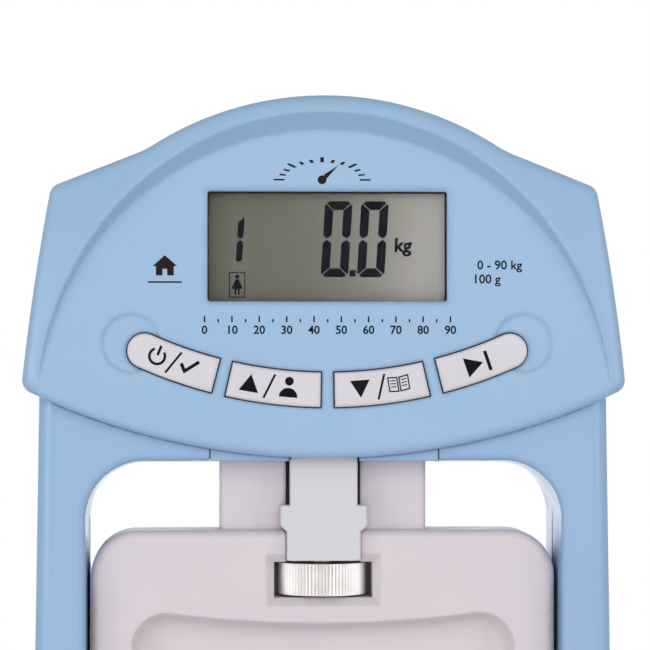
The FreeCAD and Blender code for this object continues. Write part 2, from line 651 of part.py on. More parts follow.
def makePost():
    stem = box("post_stem", ("-postX", "postFoot", "postBack"), ("postX", "postTop", "postFront"))
    tab, band, foot = size("tabX"), size("bandX"), size("postFoot")
    right = [flat(tab, 10.1), flat(tab, 5.7), flat(band, 4.3), flat(band, foot)]
    shoulders = right + [flat(-spot.x, spot.y) for spot in reversed(right)]
    wire = closed(*[line(a, b) for a, b in zip(shoulders, shoulders[1:] + shoulders[:1])])
    plate = pad("post_plate", wire, "columnFront + 0.5", "postFront")
    plate = roundEdges("post_plate_rim", plate, 0.5, lambda edge: level(edge, size("postFront")))
    stem = roundEdges("post_stem_rim", stem, 0.5, lambda edge: level(edge, size("postFront"))
                      and edge.BoundBox.YLength > 5)
    block = fuse("post_block", stem, plate)
    bore = cylinder("post_bore", "screwRadius", (0, "postFoot - 1", "splitZ"), 16, "y")
    rod = cylinder("post_rod_bore", 2.5, (0, "postTop - 10", "splitZ"), 12, "y")
    keep(cut("pull_post", block, bore, rod), "pull_post")


def makeScrewAndRod():
    screw = cylinder("adjusting_screw", "screwRadius", (0, "screwFoot", "splitZ"), "12 - screwFoot", "y")
    keep(screw, "adjusting_screw")
    rod = cylinder("rod_shaft", 2.5, (0, "postTop - 10", "splitZ"), "cellY + cellWide + 3.4 - postTop + 10",
                   "y")
    keep(rod, "pull_rod")
    nut = pad("nut_blank", hexagon(4), 0, 2.6)
    nut.Placement = FreeCAD.Placement(Vector(0, size("cellY") + size("cellWide") + 0.7, size("splitZ")),
                                      turnTo["y"])
    bore = cylinder("nut_bore", 2.5, (0, "cellY + cellWide", "splitZ"), 5, "y")
    keep(cut("rod_nut", nut, bore), "rod_nut")


def hexagon(radius):
    spots = [flat(radius * math.cos(math.radians(60 * n)),
                  radius * math.sin(math.radians(60 * n))) for n in range(6)]
    return closed(*[line(a, b) for a, b in zip(spots, spots[1:] + spots[:1])])


def makeThumbwheel():
    blank = pad("wheel_blank", toothedCircle(), 0, "wheelThick")
    middle = (size("windowTop") + size("windowFoot")) / 2
    blank.Placement = FreeCAD.Placement(Vector(0, middle - size("wheelThick") / 2, size("splitZ")),
                                        turnTo["y"])
    bore = cylinder("wheel_bore", "screwRadius + 0.05", (0, "windowFoot", "splitZ"), 9, "y")
    keep(cut("thumbwheel", blank, bore), "thumbwheel")


# ---- display, keys and electronics ----

def makeDisplay():
    shift = size("featureShift")
    lens = box("lens", (shift - 28, "lcdY - 13.6", "panelZ - coverWall - 1.3"),
               (shift + 28, "lcdY + 13.6", "panelZ - coverWall - 0.05"))
    keep(lens, "display_lens")
    glass = box("lcd_glass", (shift - 27.4, "lcdY - 14.6", 23.8), (shift + 27.4, "lcdY + 14.6", 26))
    keep(glass, "lcd_glass")
    outer = box("holder_outer", (shift - 29.6, "lcdY - 16.6", 22.65), (shift + 29.6, "lcdY + 16.6", 26.05))
    inner = box("holder_inner", (shift - 27.6, "lcdY - 14.8", 22), (shift + 27.6, "lcdY + 14.8", 27))
    keep(cut("lcd_holder", outer, inner), "lcd_holder")
    strip = box("zebra_strip", (shift - 25, "lcdY - 14.2", 22.65), (shift + 25, "lcdY - 12", 23.75))
    keep(strip, "zebra_strip")


def makeKeys():
    for name, (first, last, roundEnd) in keySpans.items():
        cap = pad(name + "_cap", keyOutline(first, last, roundEnd), "keyFoot", "keyTop")
        cap = roundEdges(name + "_top", cap, 0.7, lambda edge: level(edge, size("keyTop")))
        flange = pad(name + "_flange", keyOutline(first, last, roundEnd, 1.1), "keyFoot", "keyFoot + 0.9")
        keep(fuse(name, cap, flange), name)


def keyMiddle(name):
    first, last, _ = keySpans[name]
    return onKeyArc((size("keyInner") + size("keyOuter")) / 2, (first + last) / 2)


def makeBoard():
    corners = [flat(-47, 40), flat(-32, 29.6), flat(-9, 29.6), flat(-9, 31), flat(9, 31), flat(9, 29.6),
               flat(32, 29.6), flat(47, 40), flat(46, 68), flat(35, 80.5), flat(-35, 80.5), flat(-46, 68)]
    wire = closed(*[line(a, b) for a, b in zip(corners, corners[1:] + corners[:1])])
    plate = pad("board_plate", wire, "boardZ", "boardZ + boardThick")
    holes = [cylinder(f"board_hole_{number}", 1.3, (x, y, "boardZ - 1"), 4)
             for number, (x, y) in enumerate(boardScrewPlaces)]
    keep(cut("circuit_board", plate, *holes), "circuit_board")
    screws = []
    for number, (x, y) in enumerate(boardScrewPlaces):
        head = cylinder(f"board_head_{number}", 2.2, (x, y, "boardZ - 1.5"), 1.5)
        shank = cylinder(f"board_shank_{number}", 1, (x, y, "boardZ - 0.5"), 5.4)
        screws.append(fuse(f"board_screw_{number}", head, shank))
    keep(compound("board_screws", *screws), "board_screws")
    switches = []
    for name in keySpans:
        spot = keyMiddle(name)
        base = box(name + "_switch_base", (spot.x - 3, spot.y - 3, "boardZ + boardThick"),
                   (spot.x + 3, spot.y + 3, 25.2))
        plunger = cylinder(name + "_plunger", 1.7, (spot.x, spot.y, 25), 0.8)
        switches.append(fuse(name + "_switch", base, plunger))
    keep(compound("tact_switches", *switches), "tact_switches")
    chip = box("chip_main", (-8, 44, "boardZ - 1.4"), (4, 56, "boardZ"))
    second = box("chip_small", (14, 46, "boardZ - 1.2"), (20, 51, "boardZ"))
    crystal = box("chip_crystal", (-20, 46, "boardZ - 2"), (-12, 49, "boardZ"))
    keep(compound("board_chips", chip, second, crystal), "board_chips")


def makeLoadCell():
    bar = box("cell_bar", (-33, "cellY", 5.05), (33, "cellY + cellWide", 18))
    relief = box("cell_relief", (-22, "cellY - 1", 4), (22, "cellY + cellWide + 1", 8))
    rod = cylinder("cell_rod_bore", 2.9, (0, "cellY - 1", "splitZ"), "cellWide + 2", "y")
    tools = [relief, rod]
    for x in (-14, 14):
        tools.append(cylinder(f"cell_eye_{x + 14}", 3, (x, "cellY + cellWide / 2", 4), 16))
    holes = [cylinder(f"cell_hole_{x + 28}", 1.7, (x, "cellY + cellWide / 2", 4), 16) for x in (-28, 28)]
    keep(cut("load_cell", bar, *tools, *holes), "load_cell")
    screws = []
    for x in (-28, 28):
        head = cylinder(f"cell_head_{x + 28}", 3, (x, "cellY + cellWide / 2", 18.05), 1.9)
        shank = cylinder(f"cell_shank_{x + 28}", 1.5, (x, "cellY + cellWide / 2", 2.6), 15.6)
        screws.append(fuse(f"cell_screw_{x + 28}", head, shank))
    keep(compound("cell_screws", *screws), "cell_screws")
    gauges = [box(f"gauge_{x + 14}", (x - 3, "cellY - 0.25", 9), (x + 3, "cellY - 0.02", 16)) for x in (-14,
                                                                                                        14)]
    keep(compound("strain_gauges", *gauges), "strain_gauges")


def makeBatteries():
    cells = []
    lower = size("bayFoot") + 5.7
    upper = size("bayTop") - 5.7
    for number, (y, turn) in enumerate(((lower, 1), (upper, -1))):
        body = cylinder(f"cell_can_{number}", "batteryRadius", ("-batteryLength / 2", y, 8.1),
                        "batteryLength - 1", "x")
        nub = cylinder(f"cell_nub_{number}", 1.9, ("-batteryLength / 2 - 0.5", y, 8.1),
                       "batteryLength + 0.5", "x")
        can = fuse(f"cell_{number}", body, nub)
        if turn < 0:
            can.Placement = FreeCAD.Placement(Vector(0, 2 * y, 0), FreeCAD.Rotation(Vector(0, 0, 1), 180))
        cells.append(can)
        keep(can, "battery_" + ("lower", "upper")[number])
    plates = [box("contact_left", ("-bayX + 0.05", "bayFoot + 1", 4), ("-bayX + 0.5", "bayTop - 1", 12)),
              box("contact_right_low", ("bayX - 0.5", "bayFoot + 1", 4),
                  ("bayX - 0.05", f"{lower} + 4.4", 12)),
              box("contact_right_high", ("bayX - 0.5", f"{upper} - 4.4", 4),
                  ("bayX - 0.05", "bayTop - 1", 12))]
    keep(compound("battery_contacts", *plates), "battery_contacts")
    springs = []
    for number, (y, x, way) in enumerate(((lower, size("bayX") - 0.5, -1), (upper, -size("bayX") + 0.5, 1))):
        length = 4
        for ring in range(4):
            coil = doc.addObject("Part::Torus", f"spring_{number}_{ring}")
            coil.Radius1 = 3.4 - 0.5 * ring
            coil.Radius2 = 0.3
            coil.Placement = FreeCAD.Placement(Vector(x + way * (0.4 + ring * length / 4), y, 8.1),
                                               turnTo["x"])
            springs.append(coil)
    keep(compound("battery_springs", *springs), "battery_springs")
    lid = box("lid_plate", ("-bayX - 0.8", "bayFoot - 0.8", 0.3),
              ("bayX + 0.8", "bayTop + 0.8", "coverThick"))
    lid = roundEdges("lid_corners", lid, 1, lambda edge: edge.BoundBox.ZLength > 1)
    latch = box("lid_latch", (-5, "bayTop + 0.7", 0.4), (5, "bayTop + 1.9", 1.5))
    ribs = [box(f"lid_rib_{number}", (-9, f"bayTop - {4 + 1.6 * number}", 0.05),
                (9, f"bayTop - {3.2 + 1.6 * number}", 0.5))
            for number in range(5)]
    keep(fuse("battery_cover", lid, latch, *ribs), "battery_cover")


def makePlate():
    plate = pad("rating_plate", rectangle((-22, 33), (22, 53), 0.8), 0.08, 0.34)
    keep(plate, "rating_plate")


def lead(name, radius, spots, bend):
    """A wire: straight runs joined by arcs of one bend radius."""
    edges = []
    last = Vector(*spots[0])
    for before, corner, after in zip(spots, spots[1:], spots[2:]):
        corner = Vector(*corner)
        back = (Vector(*before) - corner).normalize()
        onward = (Vector(*after) - corner).normalize()
        half = back.getAngle(onward) / 2
        reach = bend / math.tan(half)
        middle = corner + (back + onward).normalize() * (bend / math.sin(half) - bend)
        edges.append(line(last, corner + back * reach))
        edges.append(arc(corner + back * reach, middle, corner + onward * reach))
        last = corner + onward * reach
    edges.append(line(last, Vector(*spots[-1])))
    path = Part.Wire(edges)
    rim = Part.Wire(Part.makeCircle(radius, Vector(*spots[0]), path.Edges[0].tangentAt(0)))
    return path.makePipeShell([rim], True, False)


def makeLeads():
    underBoard = size("boardZ") - 0.05
    y = size("cellY") - 1
    wires = [lead(f"cell_wire_{n}", 0.5, [(-17.5 - 1.3 * n, y, 12.5), (-26 - 1.3 * n, y, 12.5),
                                        (-26 - 1.3 * n, y - 4, 16), (-26 - 1.3 * n, y - 4, underBoard)], 1.5)
             for n in range(4)]
    item = doc.addObject("Part::Feature", "cell_lead")
    item.Shape = Part.makeCompound(wires)
    keep(item, "cell_lead")
    wires = [lead(f"battery_wire_{side}", 0.6,
                  [(side * 29.6, size("bayFoot") + 6, 8), (side * 34, size("bayFoot") + 6, 8),
                                               (side * 34, size("bayFoot") + 6, underBoard)], 2)
             for side in (-1, 1)]
    item = doc.addObject("Part::Feature", "battery_leads")
    item.Shape = Part.makeCompound(wires)
    keep(item, "battery_leads")


makeCover()
makeFrameFront()
makeRearHousing()
makeGuideBlock()
makeFrameScrews()
makeGripFront()
makeGripRear()
makeGripScrews()
makePost()
makeScrewAndRod()
makeThumbwheel()
makeDisplay()
makeKeys()
makeBoard()
makeLoadCell()
makeBatteries()
makePlate()
makeLeads()
doc.recompute()


# ---- check and write ----

for item in doc.Objects:
    if "Invalid" in item.State or "Error" in item.State:
        raise RuntimeError(f"{item.Name} failed: {item.State}")
os.makedirs("parts", exist_ok=True)
for item in subParts:
    shape = item.Shape
    if shape.isNull() or not shape.isValid():
        raise RuntimeError(f"{item.Label} has no valid shape")
    print(f"{item.Label:18s} solids {len(shape.Solids)}  volume {shape.Volume:9.1f}")
    shape.exportStep(f"parts/{item.Label}.step")
print(len(subParts), "sub-parts")
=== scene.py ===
import json
import math

import bpy
from mathutils import Matrix, Vector


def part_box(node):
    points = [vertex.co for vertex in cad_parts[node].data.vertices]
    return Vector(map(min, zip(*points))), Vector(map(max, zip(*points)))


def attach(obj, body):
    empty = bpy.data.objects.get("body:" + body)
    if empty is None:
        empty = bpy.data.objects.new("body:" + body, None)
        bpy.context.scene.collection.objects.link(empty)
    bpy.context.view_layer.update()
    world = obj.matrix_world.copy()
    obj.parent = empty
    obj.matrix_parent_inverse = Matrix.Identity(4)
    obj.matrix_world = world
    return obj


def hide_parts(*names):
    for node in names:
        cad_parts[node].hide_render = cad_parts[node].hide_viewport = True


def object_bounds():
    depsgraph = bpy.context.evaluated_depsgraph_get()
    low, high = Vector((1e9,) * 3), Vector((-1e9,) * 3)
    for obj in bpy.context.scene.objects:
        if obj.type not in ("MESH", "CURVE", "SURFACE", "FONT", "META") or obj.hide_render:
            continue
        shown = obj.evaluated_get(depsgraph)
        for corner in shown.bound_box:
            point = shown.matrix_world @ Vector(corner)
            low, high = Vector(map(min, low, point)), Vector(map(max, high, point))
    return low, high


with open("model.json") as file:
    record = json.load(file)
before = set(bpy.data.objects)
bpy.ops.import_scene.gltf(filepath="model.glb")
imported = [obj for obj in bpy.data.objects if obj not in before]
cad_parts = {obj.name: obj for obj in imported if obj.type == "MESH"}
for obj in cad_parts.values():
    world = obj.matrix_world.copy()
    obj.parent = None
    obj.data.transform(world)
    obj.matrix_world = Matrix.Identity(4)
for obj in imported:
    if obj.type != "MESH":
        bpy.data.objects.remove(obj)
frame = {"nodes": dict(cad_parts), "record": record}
nodes = frame["nodes"]
cadLow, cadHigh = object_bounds()
millimetre = 0.001
print("frame loaded:", len(nodes), "nodes")


# how the object is looked at and lit
studio = {
    "eye": (-0.031, 0.0404, 0.7),
    "target": (0.0002, 0.049, 0.024),
    "lightTarget": (0, 0.02, 0.02),
    "lens": 173.7,
    "worldStrength": 0.50,
    "floorSize": 3.0,
    "floorGap": 0.0001,
    "floorGlow": 1.0,
    "lights": [
        {"name": "key_light", "spot": (0.15, 0.30, 1.0), "size": 0.7, "power": 3.0},
        {"name": "fill_light", "spot": (-0.35, -0.35, 0.80), "size": 0.6, "power": 1.5},
        {"name": "left_strip", "spot": (-0.62, 0.05, 0.42), "size": 0.3, "power": 1.1},
        {"name": "right_strip", "spot": (0.62, 0.10, 0.42), "size": 0.3, "power": 0.9},
        {"name": "under_light", "spot": (0.0, 0.02, -0.80), "size": 0.8, "power": 3.0},
    ],
}


def deselectAll():
    if bpy.context.object and bpy.context.object.mode != "OBJECT":
        bpy.ops.object.mode_set(mode="OBJECT")
    bpy.ops.object.select_all(action="DESELECT")


def choose(piece):
    deselectAll()
    piece.select_set(True)
    bpy.context.view_layer.objects.active = piece


def settle(piece):
    # place, turn and size go into the mesh
    choose(piece)
    bpy.ops.object.transform_apply(location=True, rotation=True, scale=True)


def applyModifiers(piece):
    choose(piece)
    for modifier in list(piece.modifiers):
        bpy.ops.object.modifier_apply(modifier=modifier.name)


def finishPiece(piece, name, body, material, smooth=None):
    settle(piece)
    piece.name = name
    piece.data.name = name
    piece.data.materials.clear()
    piece.data.materials.append(material)
    if smooth is not None:
        choose(piece)
        bpy.ops.object.shade_smooth_by_angle(angle=math.radians(smooth))
    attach(piece, body)


def joinPieces(pieces):
    deselectAll()
    for piece in pieces:
        piece.select_set(True)
    bpy.context.view_layer.objects.active = pieces[0]
    bpy.ops.object.join()
    return bpy.context.object


def plate(points, height, thickness):
    # a thin plate with this outline, its foot at this height; all in metres
    deselectAll()
    bpy.ops.mesh.primitive_circle_add(vertices=len(points), radius=0.001, fill_type="NGON")
    piece = bpy.context.object
    for vertex, spot in zip(piece.data.vertices, points):
        vertex.co = (spot[0], spot[1], height)
    bpy.ops.object.mode_set(mode="EDIT")
    bpy.ops.mesh.select_all(action="SELECT")
    bpy.ops.mesh.extrude_region_move(TRANSFORM_OT_translate={"value": (0, 0, thickness)})
    bpy.ops.mesh.select_all(action="SELECT")
    bpy.ops.mesh.normals_make_consistent(inside=False)
    bpy.ops.object.mode_set(mode="OBJECT")
    return piece


def lettering(words, middle, capHeight, height, thickness, slant=0.0, bolder=0.0):
    # plain numerals and unit marks, as a raised print
    deselectAll()
    bpy.ops.object.text_add(location=(0, 0, 0))
    piece = bpy.context.object
    piece.data.body = words
    piece.data.align_x = "CENTER"
    piece.data.align_y = "CENTER"
    piece.data.size = capHeight / 0.7
    piece.data.shear = slant
    piece.data.extrude = thickness / 2
    piece.data.offset = bolder
    piece.data.resolution_u = 3
    bpy.ops.object.convert(target="MESH")
    piece = bpy.context.object
    piece.location = (middle[0], middle[1], height + thickness / 2)
    settle(piece)
    return piece


def turned(points, angle, middle):
    # points turned about the origin, then moved to the middle
    c, s = math.cos(angle), math.sin(angle)
    return [(middle[0] + x * c - y * s, middle[1] + x * s + y * c) for x, y in points]


def stretched(points, alongX, alongY):
    # minus one flips them
    return [(x * alongX, y * alongY) for x, y in points]


def rectangle(x1, y1, x2, y2):
    return [(x1, y1), (x2, y1), (x2, y2), (x1, y2)]


def arc(radius, first, last, middle=(0, 0), steps=24):
    # points from one angle to another, in degrees
    angles = [math.radians(first + (last - first) * n / steps) for n in range(steps + 1)]
    return [(middle[0] + radius * math.cos(a), middle[1] + radius * math.sin(a)) for a in angles]


def ringBand(inner, outer, first, last):
    return arc(outer, first, last) + arc(inner, first, last)[::-1]


def disc(radius, middle=(0, 0), corners=20):
    return arc(radius, 0, 360, middle, corners)[:-1]


def newGroup(name, inputs, outputs):
    group = bpy.data.node_groups.new(name, "ShaderNodeTree")
    for label, kind, value in inputs:
        socket = group.interface.new_socket(name=label, in_out="INPUT", socket_type=kind)
        socket.default_value = value
    for label, kind in outputs:
        group.interface.new_socket(name=label, in_out="OUTPUT", socket_type=kind)
    return group, group.nodes.new("NodeGroupInput"), group.nodes.new("NodeGroupOutput")


def mathNode(tree, operation, first, second, clamp=False):
    node = tree.nodes.new("ShaderNodeMath")
    node.operation = operation
    node.use_clamp = clamp
    for number, value in enumerate((first, second)):
        if isinstance(value, (int, float)):
            node.inputs[number].default_value = value
        else:
            tree.links.new(value, node.inputs[number])
    return node.outputs[0]


def rangeNode(tree, value, low, high, toLow, toHigh):
    node = tree.nodes.new("ShaderNodeMapRange")
    tree.links.new(value, node.inputs["Value"])
    for label, number in (("From Min", low), ("From Max", high), ("To Min", toLow), ("To Max", toHigh)):
        if isinstance(number, (int, float)):
            node.inputs[label].default_value = number
        else:
            tree.links.new(number, node.inputs[label])
    return node.outputs[0]


def noiseNode(tree, vector, scale, detail, roughness):
    # the scale is in waves per metre
    node = tree.nodes.new("ShaderNodeTexNoise")
    tree.links.new(vector, node.inputs["Vector"])
    if isinstance(scale, (int, float)):
        node.inputs["Scale"].default_value = scale
    else:
        tree.links.new(scale, node.inputs["Scale"])
    node.inputs["Detail"].default_value = detail
    node.inputs["Roughness"].default_value = roughness
    return node.outputs["Fac"]


def buildMouldedGrain():
    # spark-eroded mould texture, slow flow marks and patches of polish
    group, entry, leave = newGroup(
        "mouldedGrain",
        [("Grain Scale", "NodeSocketFloat", 2600.0), ("Flow Scale", "NodeSocketFloat", 28.0)],
        [("Height", "NodeSocketFloat"), ("Shade", "NodeSocketFloat"), ("Polish", "NodeSocketFloat")])
    place = group.nodes.new("ShaderNodeTexCoord").outputs["Object"]
    fine = noiseNode(group, place, entry.outputs["Grain Scale"], 3.0, 0.6)
    flow = noiseNode(group, place, entry.outputs["Flow Scale"], 3.0, 0.55)
    polish = noiseNode(group, place, 160.0, 4.0, 0.6)
    speck = noiseNode(group, place, 900.0, 2.0, 0.5)
    height = mathNode(group, "ADD", fine, mathNode(group, "MULTIPLY", speck, 0.35))
    group.links.new(height, leave.inputs["Height"])
    group.links.new(rangeNode(group, flow, 0.3, 0.7, 0.0, 1.0), leave.inputs["Shade"])
    group.links.new(rangeNode(group, polish, 0.3, 0.7, 0.0, 1.0), leave.inputs["Polish"])
    return group


def buildEdgeWear():
    # brighter edges, partly rubbed wear and partly a painted highlight, broken up so that they are not a
    # drawn line
    group, entry, leave = newGroup(
        "edgeWearAndHighlight",
        [("Radius", "NodeSocketFloat", 0.0007), ("Break Scale", "NodeSocketFloat", 240.0)],
        [("Mask", "NodeSocketFloat")])
    bevel = group.nodes.new("ShaderNodeBevel")
    bevel.samples = 4
    group.links.new(entry.outputs["Radius"], bevel.inputs["Radius"])
    surface = group.nodes.new("ShaderNodeNewGeometry")
    dot = group.nodes.new("ShaderNodeVectorMath")
    dot.operation = "DOT_PRODUCT"
    group.links.new(bevel.outputs["Normal"], dot.inputs[0])
    group.links.new(surface.outputs["Normal"], dot.inputs[1])
    edge = rangeNode(group, dot.outputs["Value"], 0.995, 0.80, 0.0, 1.0)
    place = group.nodes.new("ShaderNodeTexCoord").outputs["Object"]
    patches = noiseNode(group, place, entry.outputs["Break Scale"], 4.0, 0.6)
    breaks = rangeNode(group, patches, 0.38, 0.62, 0.15, 1.0)
    group.links.new(mathNode(group, "MULTIPLY", edge, breaks, True), leave.inputs["Mask"])
    return group


def buildSeamDust():
    # dust and painted shade that gather in seams and corners
    group, entry, leave = newGroup(
        "seamDustAndShade",
        [("Reach", "NodeSocketFloat", 0.002), ("Open", "NodeSocketFloat", 0.66),
         ("Shut", "NodeSocketFloat", 0.3)],
        [("Mask", "NodeSocketFloat")])
    hollow = group.nodes.new("ShaderNodeAmbientOcclusion")
    hollow.samples = 6
    group.links.new(entry.outputs["Reach"], hollow.inputs["Distance"])
    place = group.nodes.new("ShaderNodeTexCoord").outputs["Object"]
    breaks = rangeNode(group, noiseNode(group, place, 700.0, 3.0, 0.6), 0.3, 0.7, 0.5, 1.0)
    depth = rangeNode(group, hollow.outputs["AO"], entry.outputs["Open"], entry.outputs["Shut"], 0.0, 1.0)
    group.links.new(mathNode(group, "MULTIPLY", depth, breaks, True), leave.inputs["Mask"])
    return group


def buildMetalLines():
    # fine tool lines along one axis, with slow clouding
    group, entry, leave = newGroup(
        "metalLines",
        [("Stretch", "NodeSocketVector", (60.0, 4000.0, 4000.0))],
        [("Height", "NodeSocketFloat"), ("Cloud", "NodeSocketFloat")])
    place = group.nodes.new("ShaderNodeTexCoord").outputs["Object"]
    stretch = group.nodes.new("ShaderNodeVectorMath")
    stretch.operation = "MULTIPLY"
    group.links.new(place, stretch.inputs[0])
    group.links.new(entry.outputs["Stretch"], stretch.inputs[1])
    lines = noiseNode(group, stretch.outputs[0], 1.0, 2.0, 0.5)
    cloud = noiseNode(group, place, 220.0, 4.0, 0.6)
    group.links.new(lines, leave.inputs["Height"])
    group.links.new(rangeNode(group, cloud, 0.3, 0.7, 0.0, 1.0), leave.inputs["Cloud"])
    return group


groups = {
    "grain": buildMouldedGrain(),
    "wearAndHighlight": buildEdgeWear(),
    "dustAndShade": buildSeamDust(),
    "lines": buildMetalLines(),
}


def useGroup(tree, key, **values):
    node = tree.nodes.new("ShaderNodeGroup")
    node.node_tree = groups[key]
    for label, value in values.items():
        node.inputs[label.replace("_", " ")].default_value = value
    return node


def mixColour(tree, amount, first, second):
    node = tree.nodes.new("ShaderNodeMix")
    node.data_type = "RGBA"
    node.clamp_factor = True
    tree.links.new(amount, node.inputs["Factor"])
    for label, value in (("A", first), ("B", second)):
        socket = [s for s in node.inputs if s.name == label and s.type == "RGBA"][0]
        if isinstance(value, tuple):
            socket.default_value = (*value, 1.0)
        else:
            tree.links.new(value, socket)
    return [s for s in node.outputs if s.type == "RGBA"][0]


def startMaterial(name):
    material = bpy.data.materials.new(name)
    material.use_nodes = True
    return material, material.node_tree, material.node_tree.nodes["Principled BSDF"]


def addBump(tree, shader, height, strength, distance):
    bump = tree.nodes.new("ShaderNodeBump")
    bump.inputs["Strength"].default_value = strength
    bump.inputs["Distance"].default_value = distance
    tree.links.new(height, bump.inputs["Height"])
    tree.links.new(bump.outputs["Normal"], shader.inputs["Normal"])
    return bump


def mouldedPlastic(name, look):
    # injection-moulded: grain, flow marks, rubbed edges with a painted highlight, and a little dust with
    # painted shade in the seams
    material, tree, shader = startMaterial(name)
    grain = useGroup(tree, "grain", Grain_Scale=look["grainScale"], Flow_Scale=look["flowScale"])
    wearAndHighlight = useGroup(tree, "wearAndHighlight", Radius=look["edgeRadius"])
    dustAndShade = useGroup(tree, "dustAndShade", Reach=look["dustAndShadeReach"], Open=look.get("dustAndShadeOpen", 0.66),
                    Shut=look.get("dustAndShadeShut", 0.3))
    shade = mathNode(tree, "MULTIPLY", grain.outputs["Shade"], look["flowAmount"])
    colour = mixColour(tree, shade, look["colour"], look["flowColour"])
    # edges painted lighter: partly wear, partly a painted highlight
    edge = mathNode(tree, "MULTIPLY", wearAndHighlight.outputs["Mask"], look["edgeAmount"])
    colour = mixColour(tree, edge, colour, look["edgeColour"])
    # seams and corners darkened from ambient occlusion: partly dust, partly painted shade
    seam = mathNode(tree, "MULTIPLY", dustAndShade.outputs["Mask"], look["dustAndShadeAmount"])
    # where a look asks, the darkening is kept mostly to the lower part: painted shade in the finger scoop
    if "dustAndShadeBelow" in look:
        split = tree.nodes.new("ShaderNodeSeparateXYZ")
        tree.links.new(tree.nodes.new("ShaderNodeTexCoord").outputs["Object"], split.inputs[0])
        low, high = look["dustAndShadeBelow"]
        above = rangeNode(tree, split.outputs["Y"], low, high, 1.0, 0.15)
        seam = mathNode(tree, "MULTIPLY", seam, above)
    colour = mixColour(tree, seam, colour, look["dustAndShadeColour"])
    tree.links.new(colour, shader.inputs["Base Color"])
    rough = rangeNode(tree, grain.outputs["Polish"], 0.0, 1.0, look["roughLow"], look["roughHigh"])
    tree.links.new(mathNode(tree, "ADD", rough, mathNode(tree, "MULTIPLY", dustAndShade.outputs["Mask"], 0.2), True),
                   shader.inputs["Roughness"])
    bump = addBump(tree, shader, grain.outputs["Height"], look["grainStrength"], look["grainDepth"])
    soft = tree.nodes.new("ShaderNodeBevel")
    soft.samples = 6
    soft.inputs["Radius"].default_value = look["softEdge"]
    tree.links.new(soft.outputs["Normal"], bump.inputs["Normal"])
    return material
